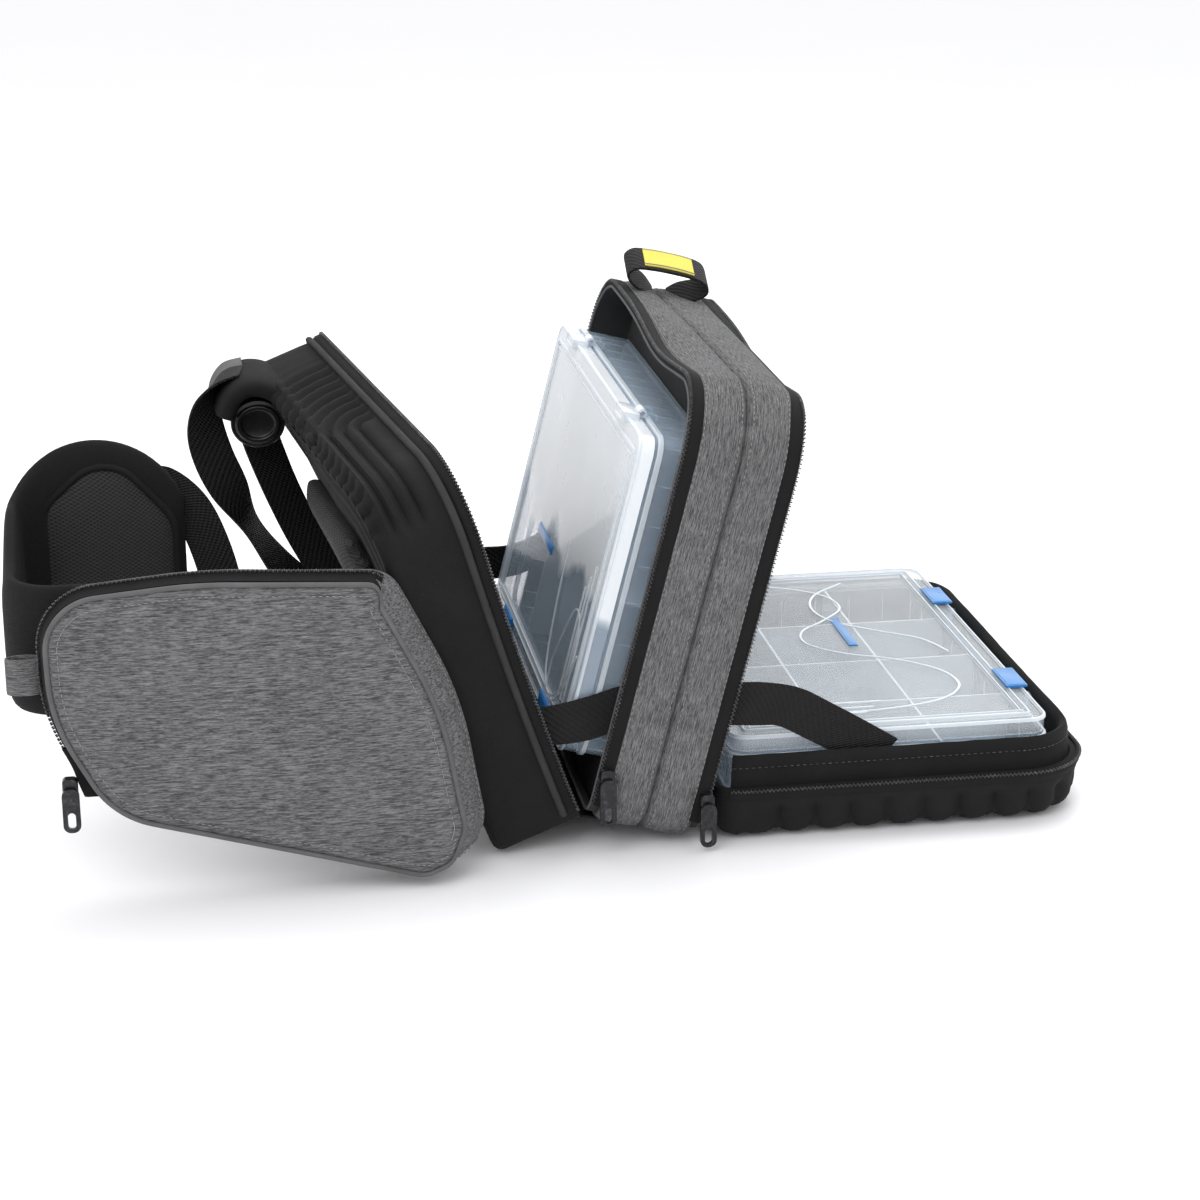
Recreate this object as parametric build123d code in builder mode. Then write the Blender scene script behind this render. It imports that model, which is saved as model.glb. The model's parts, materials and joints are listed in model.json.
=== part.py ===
"""Hip-sling tackle bag, opened out like a book, with two clear tackle boxes.

Millimetres, +Z up, the ground at Z = 0.  Three zipped sections share one hinge edge each:
a moulded tray lies flat on the ground (+X side), a soft centre section stands on its edge
beside it, and a moulded back shell with the hip wing leans away on the -X side.
The origin is the centre of the tray's resting face.  -Y is the side with the hip wing.
"""
from build123d import *
import os
from math import cos, sin, radians

# ---- driving dimensions -------------------------------------------------------------
section_width = 300.0         # along Y, the same for the three zipped sections
corner_radius = 40.0          # the two corners away from each hinge edge
hinge_corner_radius = 14.0    # the two corners beside each hinge edge
tape_stand = 2.0              # how far the zipper chains stand proud of the outline
tape_width = 6.0              # zipper tape and chain, across the opening edge

tray_length = 216.0           # along X, from the hinge edge
tray_depth = 30.0
shell_wall = 4.0
shell_edge_radius = 12.0
tray_floor_pad = 9.0
pad_gap = 1.0                 # soft pads to the walls around them

base_strip = 30.0             # fixed part of the centre section below the tray's hinge
centre_depth = 64.0
centre_lean = 14.0            # degrees from vertical, towards the tray
gusset_cloth = 2.2
lining = 1.3
divider_depth = 24.0          # from the rear opening to the divider panel
divider_thickness = 2.5
base_pad_height = 27.0

shell_height = 238.0          # back shell, from its hinge edge
shell_depth = 52.0
back_edge_radius = 6.0
shell_lean = 22.0             # degrees from vertical, away from the centre section
piping_width = 2.0
lumbar_width = 150.0
lumbar_height = 150.0
lumbar_low = 40.0
lumbar_thickness = 9.0

hinge_gap = 1.5               # opening edges to the hinge lines
hinge_cord_radius = 1.1

lip_clearance = 2.0           # padded lip to the centre section's lining when closed
lip_thickness = 5.5
lip_height = 18.0
lip_round = 1.0
lip_inner_corner = 22.0       # tighter than its outside, so that the flat box lifts out
lip_start = 14.0              # the lip stops short of the hinge edge

box_end_room = 27.0           # both ends of a tackle box to the section's sides
box_width = 181.0
box_height = 42.0
lid_height = 9.0
box_wall = 1.6
box_corner = 10.0
parting_gap = 0.3
divider_plate = 1.4
divider_fit = 0.4
divider_columns = 4
flat_box_rows = 3
upright_box_rows = 2
box_hinge_radius = 1.2
running_clearance = 0.08
knuckle_radius = 2.6
knuckle_width = 9.0
ear_width = 4.0
side_clearance = 0.4
box_hinge_spacing = 170.0
latch_width = 30.0
latch_thickness = 1.8
latch_drop = 11.0
latch_barrel = 1.6
latch_pin = 0.8
latch_spacing = 150.0
tray_box_gap = 11.0           # tray's hinge edge to the flat box

webbing = 25.0
webbing_thickness = 1.6
handle_y = 100.0
handle_rise = 19.0

pocket_depth = 16.0
pocket_cloth = 1.8
wing_pad_thickness = 9.0
wing_gap = 3.0                # hip wing to the sides of the back shell
wing_tip_y = -38.0
wing_tip_low = 97.0

strap_width = 62.0
strap_pad_thickness = 9.0
strap_y = 92.0

# ---- sizes that follow from those ----------------------------------------------------
box_length = section_width - box_end_room      # tackle boxes, along Y

# ---- shared frames -------------------------------------------------------------------
centre_up = Vector(sin(radians(centre_lean)), 0, cos(radians(centre_lean)))
centre_in = Vector(cos(radians(centre_lean)), 0, -sin(radians(centre_lean)))
shell_up = Vector(-sin(radians(shell_lean)), 0, cos(radians(shell_lean)))
shell_out = Vector(-cos(radians(shell_lean)), 0, -sin(radians(shell_lean)))

tray_hinge = Vector(-tray_length / 2 - hinge_gap, 0, tray_depth + 1)
rear_hinge = tray_hinge - centre_up * base_strip - centre_in * (centre_depth + hinge_gap)
centre_height = base_strip + tray_length + hinge_gap

# Each section's plane lies in its opening: x along the hinge edge, y away from it, z inwards.
tray_plane = Plane(origin=(-tray_length / 2, 0, tray_depth), x_dir=(0, 1, 0), z_dir=(0, 0, -1))
centre_plane = Plane(origin=rear_hinge, x_dir=(0, 1, 0), z_dir=centre_in)
shell_plane = Plane(origin=rear_hinge, x_dir=(0, -1, 0), z_dir=shell_out)

box_reach = divider_depth - 2.0
flat_box_plane = Plane(
    origin=(-tray_length / 2 + tray_box_gap + box_width / 2, 0, shell_wall + tray_floor_pad + pad_gap),
    x_dir=(1, 0, 0),
    z_dir=(0, 0, 1),
)
upright_box_plane = Plane(
    origin=rear_hinge + centre_up * (base_pad_height + 4 + box_width / 2) + centre_in * box_reach,
    x_dir=-centre_up,
    z_dir=-centre_in,
)

os.makedirs("parts", exist_ok=True)


def finish(part, name):
    """Label a finished sub-part and write it out."""
    part.label = name
    export_step(part, f"parts/{name}.step")


def outline(height, inset=0.0, far_radius=None, mode=Mode.ADD):
    """A section's rounded outline, standing on its hinge edge; inset moves it inwards."""
    half = section_width / 2 - inset
    far = far_radius or corner_radius - inset
    near = hinge_corner_radius - inset
    corners = ((-half, inset), (half, inset), (half, height - inset), (-half, height - inset))
    with BuildLine(Plane.XY) as loop:
        FilletPolyline(*corners, radius=[near, near, far, far], close=True)
    make_face(loop.line.edges(), mode=mode)


def open_hinge_edge(reach):
    """Cut a ring away beside the hinge edge, so that it runs along three sides."""
    with Locations((0, reach - 20)):
        Rectangle(section_width + 40, 40, mode=Mode.SUBTRACT)


def side_plane(place, y=0.0):
    """The plane across a box at y: its x is the box's x and its y is the box's height."""
    origin = place.from_local_coords((0, y, 0))
    return Plane(origin=origin, x_dir=place.x_dir, z_dir=-place.y_dir)


# ---- moulded tray (front section, lying flat) ------------------------------------------
with BuildPart() as front_shell:
    with BuildSketch(tray_plane):
        outline(tray_length)
    extrude(amount=tray_depth)
    fillet(front_shell.faces().sort_by(Axis.Z)[0].edges(), radius=shell_edge_radius)
    with BuildSketch(tray_plane):
        outline(tray_length, inset=shell_wall)
    extrude(amount=tray_depth - shell_wall, mode=Mode.SUBTRACT)
finish(front_shell.part, "front_shell")

with BuildPart() as front_floor_pad:
    with BuildSketch(Plane.XY.offset(shell_wall)):
        with Locations((0, 0)):
            RectangleRounded(
                tray_length - 2 * (shell_wall + shell_edge_radius / 2),
                section_width - 2 * (shell_wall + shell_edge_radius / 2),
                corner_radius - shell_wall - shell_edge_radius / 2,
            )
    extrude(amount=tray_floor_pad)
finish(front_floor_pad.part, "front_floor_pad")

lip_inset = gusset_cloth + lining + lip_clearance
with BuildPart() as front_lip:
    with BuildSketch(tray_plane):
        outline(tray_length, inset=lip_inset)
        outline(tray_length, lip_inset + lip_thickness, lip_inner_corner, mode=Mode.SUBTRACT)
        open_hinge_edge(lip_start)
    extrude(amount=-lip_height)
    fillet(front_lip.faces().sort_by(Axis.Z)[-1].edges(), radius=lip_round)
finish(front_lip.part, "front_lip")

with BuildPart() as front_zip_tape:
    with BuildSketch(tray_plane):
        outline(tray_length, inset=-tape_stand)
        outline(tray_length, mode=Mode.SUBTRACT)
        open_hinge_edge(hinge_corner_radius)
    extrude(amount=tape_width)
finish(front_zip_tape.part, "front_zip_tape")

# ---- soft centre section (stands on its edge) ------------------------------------------
half_depth = centre_depth / 2
band_depth = half_depth - tape_width - 0.5
with BuildPart() as rear_gusset:
    with BuildSketch(centre_plane.offset(half_depth - band_depth)):
        outline(centre_height)
        outline(centre_height, inset=gusset_cloth, mode=Mode.SUBTRACT)
    extrude(amount=band_depth)
finish(rear_gusset.part, "rear_gusset")

with BuildPart() as front_gusset:
    with BuildSketch(centre_plane.offset(half_depth)):
        outline(centre_height)
        outline(centre_height, inset=gusset_cloth, mode=Mode.SUBTRACT)
    extrude(amount=band_depth)
finish(front_gusset.part, "front_gusset")

with BuildPart() as centre_lining:
    with BuildSketch(centre_plane.offset(hinge_gap)):
        outline(centre_height, inset=gusset_cloth)
        outline(centre_height, inset=gusset_cloth + lining, mode=Mode.SUBTRACT)
    extrude(amount=centre_depth - 2 * hinge_gap)
finish(centre_lining.part, "centre_lining")

zip_starts = {"rear_zip_tape": hinge_gap, "front_edge_zip_tape": centre_depth - hinge_gap - tape_width + 1}
for name, start in zip_starts.items():
    with BuildPart() as zip_tape:
        with BuildSketch(centre_plane.offset(start)):
            outline(centre_height, inset=-tape_stand)
            outline(centre_height, inset=gusset_cloth, mode=Mode.SUBTRACT)
            open_hinge_edge(hinge_corner_radius)
        extrude(amount=tape_width - 1)
    finish(zip_tape.part, name)

inner_inset = gusset_cloth + lining
with BuildPart() as divider_panel:
    with BuildSketch(centre_plane.offset(divider_depth)):
        outline(centre_height, inset=inner_inset)
    extrude(amount=divider_thickness)
finish(divider_panel.part, "divider_panel")

with BuildPart() as base_pad:
    with BuildSketch(centre_plane.offset(hinge_gap + pad_gap)):
        with Locations((0, inner_inset + base_pad_height / 2)):
            RectangleRounded(section_width - 2 * (inner_inset + hinge_corner_radius), base_pad_height, 5)
    extrude(amount=divider_depth - hinge_gap - 2 * pad_gap)
finish(base_pad.part, "base_pad")

with BuildPart() as base_strip_panel:
    with BuildSketch(centre_plane.offset(centre_depth - hinge_gap - lining)):
        with Locations((0, (inner_inset + base_strip) / 2)):
            Rectangle(section_width - 2 * hinge_corner_radius, base_strip - inner_inset - 2 * pad_gap)
    extrude(amount=lining)
finish(base_strip_panel.part, "base_strip_panel")

hinge_lines = {"rear_hinge_cord": rear_hinge, "front_hinge_cord": tray_hinge}
for name, centre in hinge_lines.items():
    with BuildPart() as hinge_cord:
        with BuildSketch(Plane(origin=centre, z_dir=(0, 1, 0))):
            Circle(hinge_cord_radius)
        extrude(amount=section_width / 2 - hinge_corner_radius, both=True)
    finish(hinge_cord.part, name)

# Carrying loop across the top of the centre section.
handle_foot = rear_hinge + centre_up * centre_height + centre_in * 8
with BuildPart() as grab_handle:
    with BuildSketch(Plane(origin=handle_foot + Vector(0, handle_y, 0), x_dir=centre_in, z_dir=(0, -1, 0))):
        with BuildLine():
            loop = FilletPolyline(
                (14, 0), (-4, 9), (-3, handle_rise), (43, handle_rise), (45, 9), (26, 0), radius=4
            )
            offset(loop, amount=webbing_thickness, side=Side.RIGHT)
        make_face()
    extrude(amount=webbing / 2, both=True)
finish(grab_handle.part, "grab_handle")

with BuildPart() as handle_patch:
    patch_plane = Plane(
        origin=handle_foot + centre_up * handle_rise + Vector(0, handle_y, 0),
        x_dir=centre_in,
        z_dir=centre_up,
    )
    with BuildSketch(patch_plane):
        with Locations((18, 0)):
            RectangleRounded(30, webbing - 4, 1.5)
    extrude(amount=0.8)
finish(handle_patch.part, "handle_patch")

# ---- moulded back shell ------------------------------------------------------------------
shell_axis = Axis(shell_plane.origin, shell_out)
with BuildPart() as back_shell:
    with BuildSketch(shell_plane.offset(hinge_gap)):
        outline(shell_height)
    extrude(amount=shell_depth - hinge_gap)
    fillet(back_shell.faces().sort_by(shell_axis)[-1].edges(), radius=back_edge_radius)
    with BuildSketch(shell_plane.offset(hinge_gap)):
        outline(shell_height, inset=shell_wall)
    extrude(amount=shell_depth - hinge_gap - shell_wall, mode=Mode.SUBTRACT)
finish(back_shell.part, "back_shell")

back_rings = {
    "back_zip_tape": (hinge_gap, tape_stand, tape_width),
    "back_piping": (hinge_gap + tape_width, tape_stand, piping_width),
}
for name, (start, stand, ring_width) in back_rings.items():
    with BuildPart() as back_ring:
        with BuildSketch(shell_plane.offset(start)):
            outline(shell_height, inset=-stand)
            outline(shell_height, mode=Mode.SUBTRACT)
            open_hinge_edge(hinge_corner_radius)
        extrude(amount=ring_width)
    finish(back_ring.part, name)

with BuildPart() as lumbar_pad:
    with BuildSketch(shell_plane.offset(shell_depth)):
        with Locations((0, lumbar_low + lumbar_height / 2)):
            RectangleRounded(lumbar_width, lumbar_height, 30)
    extrude(amount=lumbar_thickness)
    fillet(lumbar_pad.faces().sort_by(shell_axis)[-1].edges(), radius=4)
finish(lumbar_pad.part, "lumbar_pad")

# ---- padded shoulder strap, its buckle and webbing ----------------------------------------
def ribbon(place, path, radius, thickness, width):
    """A flat band: a rounded path in the plane, thickened to its right, as wide as given."""
    with BuildPart() as band:
        with BuildSketch(place):
            with BuildLine(Plane.XY) as run:
                FilletPolyline(*path, radius=radius)
                offset(run.line, amount=thickness, side=Side.RIGHT, mode=Mode.ADD)
            make_face(run.line.edges())
        extrude(amount=width / 2, both=True)
    return band.part


# Local x points away from the shell (-X) and y points up.
strap_root = rear_hinge + shell_up * (shell_height - 16) + shell_out * (shell_depth + 1)
strap_plane = Plane(origin=strap_root + Vector(0, strap_y, 0), x_dir=(-1, 0, 0), z_dir=(0, 1, 0))
strap_arch = ((-2.4, -8), (9, 22), (42, 27), (56, 3))
shoulder_strap_pad = ribbon(strap_plane, strap_arch, 9, strap_pad_thickness, strap_width)
finish(shoulder_strap_pad, "shoulder_strap_pad")

with BuildPart() as strap_buckle:
    with BuildSketch(strap_plane.offset(-webbing / 2 - 4)):
        with Locations((15, -29)):
            RectangleRounded(42, 30, 9)
    extrude(amount=webbing + 8)
    fillet(strap_buckle.edges(), radius=3)
finish(strap_buckle.part, "strap_buckle")

outer_webbing_path = ((60, -4), (36, -50), (-6, -108), (-62, -166))
inner_webbing_path = ((14, -46), (-26, -108), (-58, -150))
outer_webbing = ribbon(strap_plane, outer_webbing_path, 40, webbing_thickness, webbing)
inner_webbing = ribbon(strap_plane, inner_webbing_path, 40, webbing_thickness, webbing)
finish(outer_webbing, "outer_strap_webbing")
finish(inner_webbing, "inner_strap_webbing")

# ---- hip wing with its side pocket ---------------------------------------------------------
# Local x is +X, y is up and the plane faces -Y; points are measured from the rear hinge line.
wing_plane = Plane(
    origin=rear_hinge - Vector(0, section_width / 2 + wing_gap, 0), x_dir=(1, 0, 0), z_dir=(0, -1, 0)
)
pocket_corners = (
    (-282, 152), (-201, 159), (-104, 154), (-69, 85), (-53, -6), (-90, -14), (-252, 32), (-281, 88)
)
pocket_radii = (24, 60, 9, 60, 16, 30, 26, 40)


def pocket_outline(grow=0.0, mode=Mode.ADD):
    """The side pocket's outline, as seen from the -Y side."""
    with BuildLine(Plane.XY) as loop:
        FilletPolyline(*pocket_corners, radius=pocket_radii, close=True)
    face = make_face(loop.line.edges(), mode=Mode.PRIVATE)
    if grow:
        face = offset(face, amount=grow, mode=Mode.PRIVATE)
    add(face, mode=mode)


with BuildPart() as wing_pad:
    with BuildSketch(wing_plane):
        pocket_outline()
    extrude(amount=wing_pad_thickness)
finish(wing_pad.part, "wing_pad")

with BuildPart() as side_pocket_gusset:
    with BuildSketch(wing_plane.offset(wing_pad_thickness)):
        pocket_outline()
        pocket_outline(grow=-pocket_cloth, mode=Mode.SUBTRACT)
    extrude(amount=pocket_depth)
finish(side_pocket_gusset.part, "side_pocket_gusset")

with BuildPart() as side_pocket_panel:
    with BuildSketch(wing_plane.offset(wing_pad_thickness + pocket_depth)):
        pocket_outline()
    extrude(amount=pocket_cloth)
finish(side_pocket_panel.part, "side_pocket_panel")

pocket_tape_stand = 1.2
with BuildPart() as side_pocket_zip_tape:
    with BuildSketch(wing_plane.offset(wing_pad_thickness + pocket_depth - tape_width)):
        pocket_outline(grow=pocket_tape_stand)
        pocket_outline(mode=Mode.SUBTRACT)
        with BuildLine(Plane.XY) as below:
            Polyline(
                (-270, 48), (-230, 130), (-114, 130), (-80, 170), (0, 170), (0, -60), (-270, -60), close=True
            )
        make_face(below.line.edges(), mode=Mode.SUBTRACT)
        with BuildLine(Plane.XY) as end_tab:  # the sewn end of the tape, where the slider rests
            Polyline((-268, 43.5), (-268, 66), (-250, 66), (-250, 43.5), close=True)
        make_face(end_tab.line.edges())
        pocket_outline(mode=Mode.SUBTRACT)
    extrude(amount=tape_width - 1)
finish(side_pocket_zip_tape.part, "side_pocket_zip_tape")

# The wing's front end curls round the wearer: a padded C in plan, with a domed tip.
wing_end = rear_hinge.X - 302
curl_start_y = -section_width / 2 - wing_gap + wing_pad_thickness / 2 + 0.5
curl_middle = wing_end + wing_pad_thickness / 2
curl_path = ((rear_hinge.X - 256, curl_start_y), (curl_middle, curl_start_y),
             (curl_middle, wing_tip_y), (rear_hinge.X - 206, wing_tip_y))
dome_foot = wing_tip_low - rear_hinge.Z
curl_depth = section_width / 2 + wing_gap + wing_tip_y     # wing plane to the curl's far middle
with BuildPart() as wing_tip_pad:
    with BuildSketch(Plane.XY):
        with BuildLine():
            curl = FilletPolyline(*curl_path, radius=24)
            offset(curl, amount=wing_pad_thickness / 2, side=Side.BOTH)
        make_face()
    extrude(amount=260)
    with BuildSketch(wing_plane.offset(-section_width)):
        with BuildLine():
            Polyline((-303, 148), (-303, dome_foot), (-205, dome_foot), (-205, 144))
            ThreePointArc((-205, 144), (-258, 196), (-303, 148))
        make_face()
    extrude(amount=section_width + 60, mode=Mode.INTERSECT)
    with BuildSketch(wing_plane.offset(-60)):
        with BuildLine():
            Polyline((-310, 156), (-240, 156), (-240, 230), (-310, 230), close=True)
        make_face()
    extrude(amount=100, mode=Mode.SUBTRACT)
finish(wing_tip_pad.part, "wing_tip_pad")

mesh_thickness = 1.2
with BuildPart() as wing_tip_mesh:
    with BuildSketch(wing_plane.offset(-curl_depth + wing_pad_thickness / 2)):
        with BuildLine():
            Polyline((-272, 146), (-272, dome_foot + 8), (-213, dome_foot + 8), (-213, 142))
            ThreePointArc((-213, 142), (-248, 184), (-272, 146))
        make_face()
    extrude(amount=mesh_thickness)
finish(wing_tip_mesh.part, "wing_tip_mesh")

with BuildPart() as tool_loop:
    with BuildSketch(Plane.XY.offset(rear_hinge.Z + 96)):
        with Locations((rear_hinge.X - 292, -section_width / 2 - 8.5)):
            RectangleRounded(18, 9, 4)
            RectangleRounded(18 - 2 * webbing_thickness, 9 - 2 * webbing_thickness, 2.5, mode=Mode.SUBTRACT)
    extrude(amount=20)
finish(tool_loop.part, "tool_loop")

with BuildPart() as belt_webbing:
    with BuildSketch(wing_plane.offset(-curl_depth - wing_pad_thickness / 2)):
        with BuildLine():
            Polyline((-230, 150), (-230, 175), (-205, 170), (-188, 148), (-177, 100), (-172, 50),
                     (-186, 50), (-192, 108), (-206, 146), close=True)
        make_face()
    extrude(amount=-webbing_thickness)
finish(belt_webbing.part, "belt_webbing")

# ---- stay straps that stop each section at its open angle ----------------------------------
def stay_strap(plan_path, side_corners, side):
    """Thin webbing that follows a path in plan, cut to its outline seen from the side."""
    with BuildPart() as strap:
        with BuildSketch(Plane.XY):
            with BuildLine(Plane.XY) as run:
                Polyline(*plan_path)
                offset(run.line, amount=webbing_thickness, side=Side.LEFT, mode=Mode.ADD)
            make_face(run.line.edges())
        extrude(amount=140)
        with BuildSketch(Plane.XZ):
            with BuildLine(Plane.XY) as cut:
                Polyline(*side_corners, close=True)
            make_face(cut.line.edges())
        extrude(amount=section_width, both=True, mode=Mode.INTERSECT)
    if side > 0:
        return mirror(strap.part, about=Plane.XZ)
    return strap.part


strap_in = 0.2 - section_width / 2 + inner_inset       # just inside the lining
strap_shell = 0.2 - section_width / 2 + shell_wall     # just inside the back shell
strap_clear = 11.2 - section_width / 2                 # past the lip
strap_rear_clear = 9.0 - section_width / 2             # past both rear rims
front_x, rear_x = tray_hinge.X, rear_hinge.X
front_plan = (
    (front_x - 2.5, strap_in), (front_x + 13.5, strap_in), (front_x + 47.5, strap_clear),
    (front_x + 111.5, strap_clear),
)
front_side = (
    (front_x - 2.5, 66), (front_x - 2.5, 90), (front_x + 39.5, 86), (front_x + 109.5, 50),
    (front_x + 109.5, 43), (front_x + 71.5, 43), (front_x + 33.5, 68),
)
rear_plan = (
    (rear_x - 35.7, strap_shell), (rear_x - 23.7, strap_shell), (rear_x - 5.7, strap_rear_clear),
    (rear_x + 12.3, strap_rear_clear), (rear_x + 22.3, strap_in), (rear_x + 32.3, strap_in),
)
rear_side = (
    (rear_x - 35.7, 62), (rear_x - 35.7, 84), (rear_x + 32.3, 96), (rear_x + 32.3, 73), (rear_x + 8.3, 66),
)
for end, side in {"near": -1, "far": 1}.items():
    finish(stay_strap(front_plan, front_side, side), f"front_stay_strap_{end}")
    finish(stay_strap(rear_plan, rear_side, side), f"rear_stay_strap_{end}")

# ---- zipper sliders and pulls ----------------------------------------------------------------
def slider_block(centre):
    """A zipper slider standing on the near (-Y) side of its chain."""
    with BuildPart() as block:
        with BuildSketch(Plane(origin=centre, x_dir=(1, 0, 0), z_dir=(0, -1, 0))):
            RectangleRounded(8, 11, 2.5)
        extrude(amount=5)
        fillet(block.faces().sort_by(Axis.Y)[0].edges(), radius=1.2)
    return block.part


def pull_tab(top, length):
    """A pull tab that hangs from a slider, with an oval finger hole."""
    with BuildPart() as tab:
        with BuildSketch(Plane(origin=top, x_dir=(1, 0, 0), z_dir=(0, -1, 0))):
            with Locations((0, -length / 2)):
                RectangleRounded(9, length, 4)
            with Locations((0, 6.5 - length)):
                SlotOverall(9, 4, rotation=90, mode=Mode.SUBTRACT)
        extrude(amount=2)
    return tab.part


slider_stand = section_width / 2 + tape_stand + 0.3
front_slider = rear_hinge + centre_up * 24 + centre_in * (centre_depth - 2)
rear_slider = rear_hinge + centre_up * 28 + centre_in * 4
pocket_slider = rear_hinge + Vector(-272, 0, 49)
pocket_face = section_width / 2 + wing_gap + wing_pad_thickness + pocket_depth - tape_width
sliders = {
    "front_zip": (front_slider, slider_stand, 25),
    "rear_zip": (rear_slider, slider_stand, 27),
    "side_pocket_zip": (pocket_slider, pocket_face, 24),
}
for name, (place, stand, length) in sliders.items():
    centre = Vector(place.X, -stand, place.Z)
    finish(slider_block(centre), f"{name}_slider")
    finish(pull_tab(centre + Vector(0, -5.3, 1), length), f"{name}_pull")

# ---- tackle boxes ------------------------------------------------------------------------------
# A box's plane lies in its underside: x across it from hinge to latches, z up to the lid.
base_height = box_height - lid_height
hinge_x = -box_width / 2 - knuckle_radius - 0.2
hinge_z = base_height + parting_gap / 2
latch_x = box_width / 2 + latch_barrel + side_clearance
latch_z = box_height - 3.5
ear_offset = (knuckle_width + ear_width) / 2 + side_clearance
latch_ear_width = 3.0
latch_ear_offset = (latch_width + latch_ear_width) / 2 + side_clearance


def box_base(place):
    """The tray of a tackle box, with integral hinge pins between ears."""
    with BuildPart() as base:
        with BuildSketch(place):
            RectangleRounded(box_width, box_length, box_corner)
        extrude(amount=base_height)
        with BuildSketch(place.offset(box_wall)):
            RectangleRounded(box_width - 2 * box_wall, box_length - 2 * box_wall, box_corner - box_wall)
        extrude(amount=base_height, mode=Mode.SUBTRACT)
        for y in (-box_hinge_spacing / 2, box_hinge_spacing / 2):
            for ear in (-ear_offset, ear_offset):
                with BuildSketch(side_plane(place, y + ear)):
                    with Locations((hinge_x, hinge_z)):
                        Circle(knuckle_radius)
                    with Locations((hinge_x + 1.5, hinge_z - 4)):
                        Rectangle(knuckle_radius * 2 + 0.8, 7)
                extrude(amount=ear_width / 2, both=True)
            with BuildSketch(side_plane(place, y)):
                with Locations((hinge_x, hinge_z)):
                    Circle(box_hinge_radius)
            extrude(amount=knuckle_width / 2 + side_clearance + ear_width / 2, both=True)
    return base.part


def box_lid(place):
    """The lid, with clip knuckles round the hinge pins and ears for the latches."""
    with BuildPart() as lid:
        with BuildSketch(place.offset(base_height + parting_gap)):
            RectangleRounded(box_width, box_length, box_corner)
        extrude(amount=lid_height - parting_gap)
        with BuildSketch(place.offset(base_height + parting_gap)):
            RectangleRounded(box_width - 2 * box_wall, box_length - 2 * box_wall, box_corner - box_wall)
        extrude(amount=lid_height - parting_gap - box_wall, mode=Mode.SUBTRACT)
        for y in (-box_hinge_spacing / 2, box_hinge_spacing / 2):
            with BuildSketch(side_plane(place, y)):
                with Locations((hinge_x, hinge_z)):
                    Circle(knuckle_radius)
                with Locations((hinge_x + 1.8, hinge_z + 1.8)):
                    Rectangle(3.6, 1.6)
                with Locations((hinge_x, hinge_z)):
                    Circle(box_hinge_radius + running_clearance, mode=Mode.SUBTRACT)
            extrude(amount=knuckle_width / 2, both=True)
        for y in (-latch_spacing / 2, latch_spacing / 2):
            for ear in (-latch_ear_offset, latch_ear_offset):
                with BuildSketch(side_plane(place, y + ear)):
                    with Locations((latch_x, latch_z)):
                        Circle(latch_barrel + 0.4)
                    with Locations((latch_x - 1.5, latch_z)):
                        Rectangle(3, 2 * latch_barrel)
                    with Locations((latch_x, latch_z)):
                        Circle(latch_pin + running_clearance, mode=Mode.SUBTRACT)
                extrude(amount=latch_ear_width / 2, both=True)
    return lid.part


def box_latch(place, y):
    """A snap latch that hangs from the lid's ears over the front wall."""
    with BuildPart() as latch:
        with BuildSketch(side_plane(place, y)):
            with Locations((latch_x, latch_z)):
                Circle(latch_barrel)
            with Locations((latch_x, latch_z - latch_drop / 2)):
                Rectangle(latch_thickness, latch_drop)
        extrude(amount=latch_width / 2, both=True)
        with BuildSketch(side_plane(place, y)):
            with Locations((latch_x, latch_z)):
                Circle(latch_pin)
        extrude(amount=latch_width / 2 + side_clearance + latch_ear_width - 0.5, both=True)
    return latch.part


def box_dividers(place, rows):
    """The removable divider plates, slotted together as one crate."""
    inner_width = box_width - 2 * (box_wall + divider_fit)
    inner_length = box_length - 2 * (box_wall + divider_fit)
    plate_height = base_height - box_wall - 2
    with BuildPart() as crate:
        with BuildSketch(place.offset(box_wall)):
            with GridLocations(inner_width / rows, 0, rows - 1, 1):
                Rectangle(divider_plate, inner_length)
            with GridLocations(0, inner_length / divider_columns, 1, divider_columns - 1):
                Rectangle(inner_width, divider_plate)
        extrude(amount=plate_height)
    return crate.part


tackle_boxes = {
    "flat_box": (flat_box_plane, flat_box_rows),
    "upright_box": (upright_box_plane, upright_box_rows),
}
for name, (place, rows) in tackle_boxes.items():
    finish(box_base(place), f"{name}_base")
    finish(box_lid(place), f"{name}_lid")
    finish(box_dividers(place, rows), f"{name}_dividers")
    finish(box_latch(place, -latch_spacing / 2), f"{name}_latch_near")
    finish(box_latch(place, latch_spacing / 2), f"{name}_latch_far")

print("rear hinge line", rear_hinge, "tray hinge line", tray_hinge, "centre height", centre_height)
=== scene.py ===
# %% [markdown]
# # A hip-sling tackle bag, opened like a book
# The bag has three zipped sections: a moulded tray that lies flat, a soft centre section that
# stands on its edge, and a moulded back shell with a hip wing and a side pocket. Two clear
# tackle boxes ride inside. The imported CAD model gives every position; this lesson builds the
# cloth, the padding, the zips and the finishes around it. Everything is in metres.

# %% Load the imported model
import bpy
import bmesh
import json
from math import ceil, copysign, cos, exp, pi, radians, sin, sqrt, tan
from mathutils import Matrix, Vector, noise


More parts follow.
